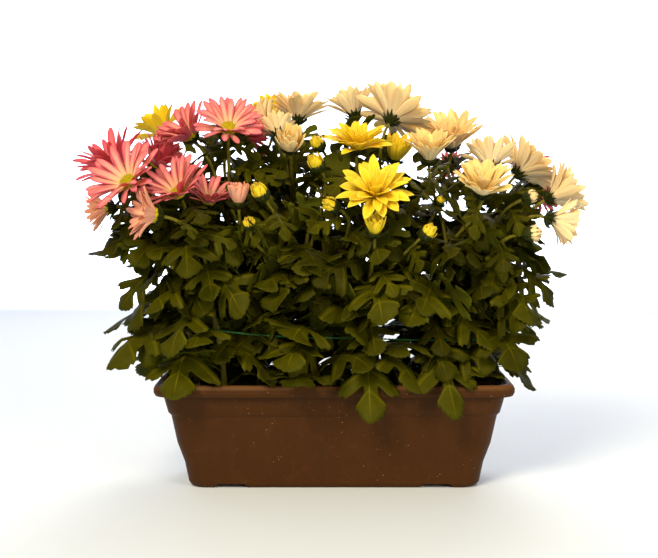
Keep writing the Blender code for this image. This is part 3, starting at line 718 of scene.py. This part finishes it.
def spread_axis(points):
    """The direction in which a cloud of points differs most from a round one."""
    middle = sum(points, Vector()) / len(points)
    spread = Matrix.Diagonal((0, 0, 0))
    for point in points:
        d = point - middle
        spread += Matrix([[d.x * d.x, d.x * d.y, d.x * d.z], [d.y * d.x, d.y * d.y, d.y * d.z],
                          [d.z * d.x, d.z * d.y, d.z * d.z]])
    values, vectors = np.linalg.eigh(np.array(spread))
    odd = 0 if values[1] - values[0] > values[2] - values[1] else 2
    return middle, Vector(vectors[:, odd]).normalized()


def read_head(node):
    bm = merged_copy(node)
    points = [v.co.copy() for v in bm.verts]
    middle, axis = spread_axis(points)
    off_axis = sorted(bm.verts, key=lambda v: (v.co - middle).cross(axis).length)
    poles = off_axis[:2]
    bottom, top = sorted(poles, key=lambda v: min(e.calc_length() for e in v.link_edges))
    low, high = bottom.co.copy(), top.co.copy()
    axis = (high - low).normalized()
    spots = [((p - low).cross(axis).length, (p - low).dot(axis)) for p in points]
    radius, top_height = max(spots, key=sum)      # the outermost ring is the petals' rim
    heights = [h for r, h in spots if abs(r - radius) < 0.05 * MM and top_height - h < 2 * MM]
    rim = sum(heights) / len(heights)
    bm.free()
    head = {"node": node, "axis": axis, "colour": node.split("_")[0]}
    if "bud" in node:
        petal = (high - low).length / (1 + BUD_SHARE)
        return head | {"form": "bud", "petal": petal, "rise": 0.0, "base": low,
                       "centre": low + axis * BUD_SHARE * petal}
    steep = math.atan2(rim - CALYX_DEPTH, radius)
    if steep > math.radians(54):
        return head | {"form": "half", "petal": math.hypot(radius, rim - HALF_OPEN_DEPTH),
                       "rise": steep, "base": low, "centre": low + axis * HALF_OPEN_DEPTH}
    form = {"pink": "daisy", "yellow": "double", "cream": "wide"}[head["colour"]]
    return head | {"form": form, "petal": math.hypot(radius, rim - CALYX_DEPTH), "rise": steep,
                   "base": low, "centre": low + axis * CALYX_DEPTH}


HEADS = [read_head(n) for n in sorted(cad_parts) if "_flower_" in n or "_bud_" in n]
for head in HEADS:
    print(head["node"], head["form"], [round(c / MM) for c in head["centre"]],
          "petal", round(head["petal"] / MM, 1), "rise", round(math.degrees(head["rise"])))

# %% [markdown]
# ## One way to grow petals and leaves
# Petals, bracts and leaves are all thin closed blades. A flat grid is bent into place by a
# rule that says where each point goes, with u from -1 to 1 across and v from 0 to 1 along,
# and the bent sheet is then given its thickness. The grid's own layout becomes the UV map
# that the veins follow.

# %% Blades
def new_plant_mesh():
    bm = bmesh.new()
    bm.loops.layers.uv.new("petal")
    bm.verts.layers.float.new("tone")
    bm.verts.layers.float.new("under")
    bm.verts.layers.int.new("number")
    return bm


def grow_blade(bm, rule, columns, rows, thickness, tone):
    """Add one closed blade. rule(u, v) gives a point of its upper face."""
    uv_map = bm.loops.layers.uv["petal"]
    tones, unders = bm.verts.layers.float["tone"], bm.verts.layers.float["under"]
    numbers = bm.verts.layers.int["number"]
    verts = bmesh.ops.create_grid(bm, x_segments=columns, y_segments=rows, size=1.0)["verts"]
    places = {v: (v.co.x, (v.co.y + 1) / 2) for v in verts}
    faces = list(dict.fromkeys(f for v in verts for f in v.link_faces))
    for face in faces:
        for loop in face.loops:
            u, v = places[loop.vert]
            loop[uv_map].uv = ((u + 1) / 2, v)
    for k, vert in enumerate(verts):
        vert.co = rule(*places[vert])
        vert[tones] = tone
        vert[numbers] = k
    for part in faces + verts[:]:
        part.normal_update()
    below = [vert.co + vert.normal * thickness for vert in verts]
    made = bmesh.ops.extrude_face_region(bm, geom=faces, use_keep_orig=True)["geom"]
    for vert in (g for g in made if isinstance(g, bmesh.types.BMVert)):
        vert.co = below[vert[numbers]]
        vert[unders] = 1.0


def blade_mesh(bm, matrix=None):
    """Turn a bmesh of blades into a smooth mesh, moved by a matrix."""
    if matrix is not None:
        bmesh.ops.transform(bm, matrix=matrix, verts=bm.verts)
    return to_mesh(bm)

# %% [markdown]
# ## How a petal lies
# A petal leaves the edge of the disc and ends on the head's rim. In between it follows an
# arc: a young petal arches up and over, an old one lies flat or hangs. Its cross-section is
# a shallow channel with fine ridges along it. The outlines differ by colour: strap-like on
# the pink heads, pointed on the yellow and broad with a blunt end on the cream ones.

# %% Petal rule
OUTLINES = {
    "pink": [(0, 0.45), (0.2, 0.62), (0.45, 0.9), (0.65, 1.0), (0.82, 0.92), (0.93, 0.7),
             (1.0, 0.3)],
    "yellow": [(0, 0.4), (0.25, 0.72), (0.5, 0.97), (0.65, 1.0), (0.82, 0.8), (0.93, 0.46),
               (1.0, 0.1)],
    "cream": [(0, 0.38), (0.25, 0.66), (0.5, 0.94), (0.68, 1.0), (0.84, 0.82), (0.94, 0.48),
              (1.0, 0.14)],
}


def petal_rule(seat, tip, around, half_width, outline, bow, cup, ridge, lean, twist):
    """A rule for a petal from seat to tip, both (radius, height) in the head's own frame.
    bow is how far it turns from start to end, lean how far its tip strays sideways."""
    chord = Vector((tip[0] - seat[0], tip[1] - seat[1]))
    rise = math.atan2(chord.y, chord.x)
    bow = bow if abs(bow) > 0.01 else 0.01
    length = chord.length * (bow / 2) / math.sin(bow / 2)

    def rule(u, v):
        slope = rise - bow / 2 + bow * v
        start = rise - bow / 2
        out = seat[0] + length * (math.sin(slope) - math.sin(start)) / bow
        up = seat[1] - length * (math.cos(slope) - math.cos(start)) / bow
        half = half_width * lerp_table(outline, v)
        fold = cup * half * (u * u - 0.3) + ridge * math.cos(3 * math.pi * u) * min(3 * v, 1)
        out -= fold * math.sin(slope)
        up += fold * math.cos(slope)
        side = u * half + lean * v * v
        up += u * half * math.sin(twist * v)
        side -= u * half * (1 - math.cos(twist * v))
        c, s = math.cos(around), math.sin(around)
        return Vector((out * c - side * s, out * s + side * c, up))
    return rule

# %% [markdown]
# ## Disc, calyx and bracts
# The yellow button of a daisy is a crowd of tiny florets packed in a golden spiral over a low
# dome; each is a short tapered peg. Behind the petals sits the calyx, a green cup with
# overlapping pointed bracts, which holds the head on its stalk.

# %% Disc and calyx
GOLDEN = math.radians(137.5)


def grow_disc(bm, radius, height, count, peg):
    """A low dome covered in pegs, in the head's own frame."""
    place = Matrix.Diagonal((radius, radius, height, 1))
    bmesh.ops.create_icosphere(bm, subdivisions=3, radius=1.0, matrix=place)
    for k in range(count):
        away = math.sqrt((k + 0.5) / count)
        lie = Vector((away * math.cos(k * GOLDEN), away * math.sin(k * GOLDEN), 0))
        spot = Vector((lie.x * radius, lie.y * radius, height * math.sqrt(1 - away * away * 0.96)))
        lean = Vector((lie.x * 0.9, lie.y * 0.9, 1.0))
        turn = lean.to_track_quat("Z", "Y").to_matrix().to_4x4()
        bmesh.ops.create_cone(bm, cap_ends=True, segments=6, radius1=peg, radius2=0.55 * peg,
                              depth=2.6 * peg, matrix=Matrix.Translation(spot) @ turn)


def grow_calyx(bm, depth, radius, reach, count, chance):
    """A cup from the stalk's end to the petals, with two rows of pointed bracts."""
    cup = bmesh.ops.create_uvsphere(bm, u_segments=20, v_segments=12, radius=1.0)["verts"]
    for vert in cup:
        belly = radius * (0.86 if vert.co.z > 0 else 1.0)
        vert.co = (vert.co.x * belly, vert.co.y * belly,
                   vert.co.z * depth * (0.15 if vert.co.z > 0 else 0.95) - 0.12 * depth)
    outline = [(0, 0.7), (0.3, 1.0), (0.7, 0.6), (1.0, 0.08)]
    for row, (start, end) in enumerate([(-0.85, -0.25), (-0.55, 0.12)]):
        for k in range(count):
            around = math.tau * (k + 0.5 * row) / count + chance.uniform(-0.1, 0.1)
            stray = chance.uniform(0.9, 1.12)
            rule = petal_rule((radius * (0.75 + 0.2 * row), start * depth),
                              (reach * stray * (0.86 + 0.14 * row), end * depth * stray),
                              around, 1.25 * MM, outline, chance.uniform(-0.5, 0.2), 0.5, 0, 0,
                              0)
            grow_blade(bm, rule, 2, 5, 0.3 * MM, chance.random())

# %% [markdown]
# ## The kinds of head
# A daisy has two rows of narrow petals round a big disc, and a full daisy, which only the
# deep pink heads are, has a third and longer petals. A wide cream flower has broader
# petals and a lemon eye with a few short petals in it. A double is row upon row, steeper and
# shorter towards the middle. A half-open head is a cup of upright petals. A bud shows only
# the tips of its petals above a green calyx.

# %% Rows of petals
# Each row: how many petals, then as shares of the head's petal length: how far out and how
# high the seat is, the reach, the half width; then the extra rise in degrees, the bow, the
# spread of the reach, and how far petals stray in degrees.
ROWS = {
    "daisy": [(15, 0.13, -0.04, 1.02, 0.10, -4, -0.35, 0.10, 6),
              (14, 0.11, -0.01, 0.97, 0.094, 9, -0.5, 0.16, 7)],
    "full daisy": [(14, 0.13, -0.04, 1.1, 0.105, -6, -0.35, 0.10, 5),
                   (13, 0.11, -0.01, 1.1, 0.10, 12, -0.5, 0.12, 6),
                   (11, 0.12, 0.01, 1.06, 0.095, 30, -0.3, 0.15, 8)],
    "wide": [(16, 0.12, -0.05, 1.04, 0.135, -5, -0.4, 0.12, 6),
             (15, 0.10, -0.02, 0.98, 0.13, 8, -0.5, 0.14, 8),
             (12, 0.07, 0.0, 0.78, 0.10, 24, -0.45, 0.25, 10)],
    "double": [(13, 0.10, -0.05, 1.04, 0.14, -5, -0.7, 0.16, 11),
               (13, 0.09, -0.03, 0.98, 0.135, 12, -0.6, 0.22, 12),
               (11, 0.08, 0.0, 0.84, 0.125, 34, -0.4, 0.28, 14),
               (7, 0.08, 0.02, 0.55, 0.10, 54, -0.2, 0.3, 14)],
    "half": [(9, 0.16, -0.10, 1.0, 0.17, -4, 0.35, 0.10, 5),
             (8, 0.12, -0.05, 1.0, 0.16, 6, 0.3, 0.12, 7),
             (7, 0.07, 0.0, 0.85, 0.12, 14, 0.2, 0.15, 9)],
    "bud": [(11, 0.58, -0.5, 0.95, 0.25, 58, 0.9, 0.35, 6),
            (9, 0.42, -0.4, 1.12, 0.22, 78, 0.6, 0.3, 9),
            (7, 0.22, -0.3, 1.2, 0.2, 78, 0.3, 0.25, 9)],
}
DISC_SHARE = {"daisy": 0.235, "wide": 0.14, "double": 0.13}     # of the petal length
PETAL_LOOK = {"pink": (0.22, 0.10), "yellow": (0.32, 0.14), "cream": (0.3, 0.20)}   # cup, ridge


print("rows of petals:", {form: len(rows) for form, rows in ROWS.items()})

# %% [markdown]
# ## Growing a head
# One function places every petal of every kind from the table, with a little chance in its
# direction, length, bend and twist, because no two petals of a real head lie alike. The disc
# and the calyx come from their own functions, and one matrix carries all three into place.

# %% Growing heads
def head_matrix(head):
    turn = Vector((0, 0, 1)).rotation_difference(head["axis"]).to_matrix().to_4x4()
    return Matrix.Translation(head["centre"]) @ turn


def grow_petals(head, chance):
    bm = new_plant_mesh()
    reach, cup_ridge = head["petal"], PETAL_LOOK[head["colour"]]
    for number, row in enumerate(ROWS[head.get("full", head["form"])]):
        count, out, up, share, half, lift, bow, spread, stray = row
        for k in range(count):
            around = math.tau * (k + 0.5 * (number % 2)) / count
            around += math.radians(chance.uniform(-stray, stray))
            rise = head["rise"] + math.radians(lift + chance.uniform(-stray, stray))
            length = reach * share * (1 - spread * chance.random())
            seat = (out * reach, up * reach)
            tip = (length * math.cos(rise), length * math.sin(rise))
            if head["form"] == "bud":
                tip = ((0.62 - 0.2 * number) * reach * chance.uniform(0.5, 1.45), length)
            rule = petal_rule(seat, tip, around, half * reach * chance.uniform(0.82, 1.16),
                              OUTLINES[head["colour"]], bow + chance.uniform(-0.3, 0.25),
                              cup_ridge[0] * chance.uniform(0.3, 1.6), cup_ridge[1] * MM * 1.4,
                              reach * chance.uniform(-0.09, 0.09), chance.uniform(-0.5, 0.5))
            grow_blade(bm, rule, 6, 9, 0.35 * MM, chance.random())
    return bm


def grow_heart(head):
    """The disc in the middle of an open head."""
    bm = new_plant_mesh()
    radius = DISC_SHARE[head["form"]] * head["petal"]
    if head["form"] == "daisy":
        radius = min(radius, 8.5 * MM)
    count = 110 if head["form"] == "daisy" else 50
    grow_disc(bm, radius, 0.5 * radius, count, radius * (0.085 if count > 60 else 0.12))
    return bm


def grow_back(head, chance):
    """The calyx behind a head."""
    bm = new_plant_mesh()
    petal = head["petal"]
    if head["form"] == "bud":
        grow_calyx(bm, 1.15 * petal, 0.85 * petal, 1.0 * petal, 8, chance)
    else:
        depth = (head["centre"] - head["base"]).length
        grow_calyx(bm, depth, 6.2 * MM, 12 * MM, 12, chance)
    return bm


# %% [markdown]
# ## All the heads
# The petals, the disc and the calyx of a head are separate pieces, because they differ in
# material. Lower pink heads have faded to peach, and the topmost are the deepest in colour.
# Each head has its own seed, so one can change without the others.

# %% Heads
OTHER_COLOURS = {"pink_flower_1b": "magenta", "pink_flower_2b": "magenta",
                 "pink_flower_3c": "magenta", "pink_flower_1c": "peach",
                 "pink_flower_2d": "peach", "pink_flower_3d": "peach",
                 "cream_flower_1a": "lemon", "cream_flower_1b": "lemon",
                 "cream_flower_3d": "lemon", "cream_bud_2a": "lemon", "cream_bud_2b": "lemon"}
tints = {"daisy": disc_floret, "wide": disc_cream, "double": disc_cream}
for number, head in enumerate(HEADS):
    chance = random.Random(100 + number)
    node, place = head["node"], head_matrix(head)
    colour = OTHER_COLOURS.get(node, head["colour"])
    if colour == "magenta":
        head["full"] = "full daisy"
    finish_piece(node + "_petals", blade_mesh(grow_petals(head, chance), place),
                 petal_materials[colour], [node])
    if head["form"] in DISC_SHARE:
        finish_piece(node + "_disc", blade_mesh(grow_heart(head), place),
                     tints[head["form"]])
    finish_piece(node + "_calyx", blade_mesh(grow_back(head, chance), place), green_calyx)
print("heads:", len(HEADS))

# %% [markdown]
# ## Reading the shoots
# In the design model a shoot is one solid: a stem, a stalk to each head and plain blades.
# Every blade tapers to a single point through rings of four corners, so a point from which
# three rings of exactly four corners follow is a leaf tip. Two opposite corners of a ring
# are the blade's edges, the other two are its faces. The midrib is a parabola through the
# rings, and its start on the stem follows from the same parabola.

# %% Leaf reading
RING_SHARES = (0.75, 0.45, 0.22)     # how far along the leaf its three rings are


def ring_frame(ring):
    """The middle of a ring of four corners, and the way from its middle to one edge."""
    pairs = [((ring[0], ring[k]), [v for n, v in enumerate(ring) if n not in (0, k)])
             for k in (1, 2, 3)]
    thin, wide = min((sorted(pair, key=lambda p: (p[0].co - p[1].co).length)
                      for pair in pairs), key=lambda p: (p[0][0].co - p[0][1].co).length)
    middle = (thin[0].co + thin[1].co) / 2
    return middle, (wide[0].co - wide[1].co) / 2


def rings_below(tip):
    """The three rings that follow a leaf's tip, or nothing if this isn't a tip."""
    seen, ring, found = {tip}, [tip], []
    for _ in RING_SHARES:
        ring = list({e.other_vert(v) for v in ring for e in v.link_edges} - seen)
        if len(ring) != 4:
            return None
        seen |= set(ring)
        found.append(ring)
    return found


def parabola(known, t):
    """The point at t of the parabola through three (t, point) pairs."""
    total = Vector()
    for i, (ti, point) in enumerate(known):
        others = [tj for j, (tj, _) in enumerate(known) if j != i]
        weight = (t - others[0]) * (t - others[1]) / ((ti - others[0]) * (ti - others[1]))
        total += point * weight
    return total


def read_leaves(node):
    bm = merged_copy(node)
    leaves = []
    for vert in bm.verts:
        if len(vert.link_edges) != 4:
            continue
        pull = sum(((e.other_vert(vert).co - vert.co).normalized() for e in vert.link_edges),
                   Vector())
        rings = rings_below(vert) if pull.length > 3.0 else None
        if not rings:
            continue
        (middle, across), (lower, _) = (ring_frame(ring) for ring in rings[1:])
        known = [(1.0, vert.co.copy()), (RING_SHARES[1], middle), (RING_SHARES[2], lower)]
        leaves.append({"tip": vert.co.copy(), "known": known, "start": parabola(known, 0.0),
                       "across": across})
    bm.free()
    return leaves


SHOOTS = sorted(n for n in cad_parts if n.endswith("_shoot"))
LEAVES = {n: read_leaves(n) for n in SHOOTS}
for node, leaves in LEAVES.items():
    print(node, len(leaves), "leaves, longest",
          round(max((l["tip"] - l["start"]).length for l in leaves) / MM))

# %% [markdown]
# ## Stems and stalks
# Each shoot leaves its root ball upright and leans out to a fork, from which a stalk curves
# to every head. The foot of a shoot is its lowest ring, the end of a stalk is just under its
# head's calyx, and how far a stalk bends aside is solved from the ring next to its end.
# Stems are curves with a round bevel that thins towards the top, baked to a mesh.

# %% Stems
# where each shoot forks, in millimetres
FORKS = {"pink_1": (-165, -42, 222), "pink_2": (-143, -62, 240), "pink_3": (-113, -24, 280),
         "pink_4": (150, 48, 235), "yellow_1": (-28, -48, 235), "yellow_2": (36, -62, 222),
         "yellow_3": (-112, 55, 255), "cream_1": (110, -52, 235), "cream_2": (165, -35, 220),
         "cream_3": (-46, 16, 265), "cream_4": (55, 30, 268)}
STALK_GAP = 0.6 * MM                 # from a stalk's end to the calyx
FOOT_HEIGHT = max(high.z for low, high in BALLS.values()) + STALK_GAP
FIRST_FORK, FORK_STEP, STALK_RISE, STALK_AIM = 0.98, 0.12, 0.35, 0.3


def bezier(points, t):
    while len(points) > 1:
        points = [a.lerp(b, t) for a, b in zip(points, points[1:])]
    return points[0]


def read_stalk(bm, start, head):
    """The four control points of a stalk from the main stem to a head."""
    end = head["base"] - head["axis"] * STALK_GAP
    span = (end - start).length
    plain = [start, start + Vector((0, 0, STALK_RISE * span)),
             end - head["axis"] * STALK_AIM * span, end]
    cap = sorted(bm.verts, key=lambda v: (v.co - end).length)[:4]
    below = {e.other_vert(v) for v in cap for e in v.link_edges} - set(cap)
    if len(below) != 4:
        return plain
    measured = sum((v.co for v in below), Vector()) / 4          # the stalk at 0.8 of its way
    aside = (measured - bezier(plain, 0.8)) / 0.48
    aside.z = 0
    return [plain[0], plain[1] + aside, plain[2] + aside, plain[3]]


def read_shoot(node):
    bm = merged_copy(node)
    name = node.removesuffix("_shoot")
    ring = [v.co for v in bm.verts if abs(v.co.z - FOOT_HEIGHT) < 0.05 * MM]
    foot = sum(ring, Vector()) / len(ring)
    fork = Vector(FORKS[name]) * MM
    stem = [foot, Vector((foot.x, foot.y, (foot.z + fork.z) / 2)), fork]
    colour, number = name.split("_")
    own = [h for h in HEADS if h["node"].startswith(colour) and h["node"][-2] == number]
    own.sort(key=lambda h: ("_bud_" in h["node"], h["node"]))
    stalks = [read_stalk(bm, bezier(stem, FIRST_FORK - FORK_STEP * k), head)
              for k, head in enumerate(own)]
    bm.free()
    return {"stem": stem, "stalks": stalks}


def add_spline(curve, points, radii, count):
    spline = curve.splines.new("POLY")
    spline.points.add(count)
    for k, point in enumerate(spline.points):
        t = k / count
        point.co = (*bezier(points, t), 1)
        node_swell = 1 + 0.12 * math.cos(t * 9 * math.pi) ** 8
        point.radius = (radii[0] + t * (radii[1] - radii[0])) * node_swell


PLANTS = {node: read_shoot(node) for node in SHOOTS}
print("shoots:", len(PLANTS))

# %% [markdown]
# ## Growing the stems
# A stem swells a little at each node, where leaves join it, so the radius of the curve is
# raised at even steps. The caps of the bevel are loose, and joining their corners closes
# them.

# %% Stem pieces
for node, plant in PLANTS.items():
    curve = bpy.data.curves.new(node, "CURVE")
    curve.dimensions = "3D"
    curve.bevel_depth = MM
    curve.bevel_resolution = 3
    curve.use_fill_caps = True
    add_spline(curve, plant["stem"], (3.1, 2.3), 40)
    for stalk in plant["stalks"]:
        add_spline(curve, stalk, (1.9, 1.45), 24)
    stems = bmesh.new()
    stems.from_mesh(baked(scratch_object(node + " curve", curve)))
    bmesh.ops.remove_doubles(stems, verts=stems.verts[:], dist=0.01 * MM)      # closes the caps
    finish_piece(node + "_stems", to_mesh(stems, 50), green_stem, [node])
print("stems:", sum(len(p["stalks"]) for p in PLANTS.values()), "stalks")

# %% [markdown]
# ## Chrysanthemum leaves
# The leaf is the plant's signature: a wedge-shaped base, two pairs of forward-pointing lobes
# with round gaps between them and an end lobe with blunt teeth. The outline is a list of
# rows. Each row starts on the midrib and fans forward to the edge, so that a wide row becomes
# a lobe that points to the tip. The blade sags between its veins and ripples at its edge.

# %% Leaf rule
# Row by row: half width as a share of the widest, how far along the edge is, and how far
# along the midrib the row starts. Rows fan forward, and each lobe ends in blunt teeth.
LOBES = [
    (0.05, 0, 0), (0.045, 0.10, 0.10), (0.07, 0.165, 0.165), (0.20, 0.225, 0.20),
    (0.42, 0.28, 0.232), (0.62, 0.34, 0.26), (0.73, 0.40, 0.285), (0.74, 0.45, 0.308),
    (0.62, 0.462, 0.33), (0.53, 0.478, 0.35), (0.40, 0.45, 0.37), (0.26, 0.425, 0.39),
    (0.20, 0.45, 0.41), (0.235, 0.50, 0.432), (0.40, 0.56, 0.455), (0.64, 0.61, 0.48),
    (0.88, 0.665, 0.505), (1.02, 0.73, 0.53), (1.0, 0.785, 0.552), (0.87, 0.772, 0.572),
    (0.78, 0.805, 0.59), (0.62, 0.78, 0.61), (0.42, 0.735, 0.63), (0.26, 0.70, 0.65),
    (0.215, 0.725, 0.672), (0.24, 0.775, 0.697), (0.35, 0.82, 0.722), (0.47, 0.86, 0.747),
    (0.50, 0.90, 0.772), (0.41, 0.905, 0.795), (0.40, 0.94, 0.82), (0.32, 0.95, 0.845),
    (0.28, 0.975, 0.87), (0.19, 0.978, 0.905), (0.11, 1.0, 0.945), (0.02, 1.0, 1.0)]


def leaf_rule(leaf, chance):
    known, half_width = leaf["known"], 1.2 * leaf["across"].length
    across = leaf["across"].normalized()
    heading = leaf["tip"] - leaf["start"]
    outwards = Vector((heading.x, heading.y, heading.to_2d().length))      # up and away
    if across.cross(parabola(known, 0.7) - parabola(known, 0.4)).dot(outwards) > 0:
        across = -across
    cup = chance.uniform(0.0, 0.2) if chance.random() < 0.7 else chance.uniform(-0.3, 0.0)
    ripple, phase = chance.uniform(0.04, 0.09) * half_width, chance.uniform(0, math.tau)
    curl = chance.uniform(0.0, 0.5)
    lopsided = chance.uniform(-0.12, 0.12)
    depth = {side: chance.uniform(0.85, 1.1) for side in (-1, 1)}      # of the gaps between lobes

    def rule(u, v):
        side = 1 if u > 0 else -1
        width, edge, middle = LOBES[round(v * (len(LOBES) - 1))]
        if v > 0.1:
            width = 1 - (1 - width) * depth[side] if 0.2 < width < 0.6 and v < 0.9 else width
        t = middle + (edge - middle) * abs(u) ** 1.2
        along = (parabola(known, t + 0.02) - parabola(known, t - 0.02)).normalized()
        up = along.cross(across).normalized()
        half = half_width * width * (1 + lopsided * side)
        lift = -half * (cup * abs(u) + 0.12 * u * u)
        lift += ripple * abs(u) * width * math.sin(16 * t + phase + side)
        lift -= curl * half_width * max(t - 0.7, 0) ** 2 * 4
        spot = parabola(known, t) + across * (u * half)
        lift += 0.16 * half_width * abs(u) ** 0.5 * noise.noise(spot / (18 * MM))
        return spot + up * lift
    return rule


def new_leaf(start, tip, half_width, arch, roll):
    """A leaf like those of the design model, for places where it has none."""
    control = start.lerp(tip, 0.45) + Vector((0, 0, arch))
    heading = tip - start
    across = Vector((-heading.y, heading.x, 0)).normalized()
    across = Matrix.Rotation(roll, 3, heading.normalized()) @ across
    known = [(t, bezier([start, control, tip], t)) for t in (0.22, 0.6, 1.0)]
    return {"start": start, "tip": tip, "known": known, "across": across * half_width}

# %% [markdown]
# ## More leaves
# The design model carries the large leaves. A real plant has smaller ones between them, and
# they get shorter towards the flowers. They are set in a golden spiral. One is left out
# where it would reach into a flower, below the rim, beyond the plant's outline or into the
# gap between the middle and the right plants, which is open in front.

# %% Filling leaves
PARTING = (BALL_CENTRES["root_ball_middle"].x + BALL_CENTRES["root_ball_right"].x) / 2
PARTING_HALF, PARTING_TOP = 22 * MM, 186 * MM
STEM_SEATS = 13
STALK_SEATS = (0.08, 0.2, 0.3, 0.4, 0.5, 0.59, 0.68, 0.77, 0.86)
BLADE = 0.5 * MM                     # how thick a leaf is


def has_room(leaf):
    low, high = CAD_BOX
    spots = [parabola(leaf["known"], t) for t in (0.35, 0.55, 0.8, 1.0)]
    for spot in spots:
        if spot.z < RIM_HEIGHT + 4 * MM and abs(spot.y) < HALF_DEPTH + 10 * MM:
            return False
        in_front = spot.y < 5 * MM or spot.z > 152 * MM
        if abs(spot.x - PARTING) < PARTING_HALF and spot.z < PARTING_TOP and in_front:
            return False
        if any(spot[i] < low[i] + 4 * MM or spot[i] > high[i] - 4 * MM for i in range(3)):
            return False
        for head in HEADS:
            away = spot - head["centre"]
            level = away.dot(head["axis"])
            if away.length < 0.85 * head["petal"] + 4 * MM and level > -0.3 * away.length:
                return False
    return True


def filling_leaves(plant, order, chance):
    seats = [(bezier(plant["stem"], 0.06 + 0.94 * k / (STEM_SEATS - 1)), 1.0)
             for k in range(STEM_SEATS)]
    for stalk in plant["stalks"]:
        seats += [(bezier(stalk, t), 1.0 - 0.68 * t) for t in STALK_SEATS]
    leaves = []
    for k, (start, size) in enumerate(seats):
        for attempt in range(8):
            spin = GOLDEN * (k + 0.4) + 1.3 * order + 0.7 * attempt
            reach = (22 + 52 * size) * MM * chance.uniform(0.85, 1.1) * (1 - 0.06 * attempt)
            slope = chance.uniform(-1.1, 0.2)
            if size < 0.7:            # upper leaves rise or hang rather than lie level
                slope = chance.choice((chance.uniform(0.4, 1.3), chance.uniform(-1.0, -0.2)))
            if start.z < RIM_HEIGHT + 40 * MM:
                slope = chance.uniform(0.0, 0.7)
            heading = Vector((math.cos(spin), math.sin(spin), slope)).normalized()
            leaf = new_leaf(start, start + heading * reach, reach * chance.uniform(0.27, 0.34),
                            reach * chance.uniform(0.1, 0.36), chance.uniform(-1.1, 1.1))
            if has_room(leaf):
                leaves.append(leaf)
                break
    return leaves


print("seats for small leaves:", STEM_SEATS, "on a stem,", len(STALK_SEATS), "on a stalk")

# %% [markdown]
# ## Growing the leaves
# All leaves of a shoot are one piece. The large ones have a finer grid across than the
# small ones, and both come from the same rule.

# %% Leaves
total = 0
for order, (node, plant) in enumerate(PLANTS.items()):
    chance = random.Random(300 + order)
    bm = new_plant_mesh()
    fillers = filling_leaves(plant, order, chance)
    for columns, grown in ((8, LEAVES[node]), (6, fillers)):
        for leaf in grown:
            rule = leaf_rule(leaf, chance)
            grow_blade(bm, rule, columns, len(LOBES) - 1, BLADE, chance.random())
    finish_piece(node + "_leaves", blade_mesh(bm), green_leaf)
    total += len(LEAVES[node]) + len(fillers)
print("leaves:", total)

# %% [markdown]
# ## Finish
# The sizes of the design model and of the looks are gathered side by side, and the size of the
# looks is printed. The looks have to stay within the design model's own size.

# %% Sizes
size = {"cad": [list(c) for c in CAD_BOX], "visual": [list(c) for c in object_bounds()]}
print("sizes:", [[round(x, 3) for x in c] for c in size["visual"]])
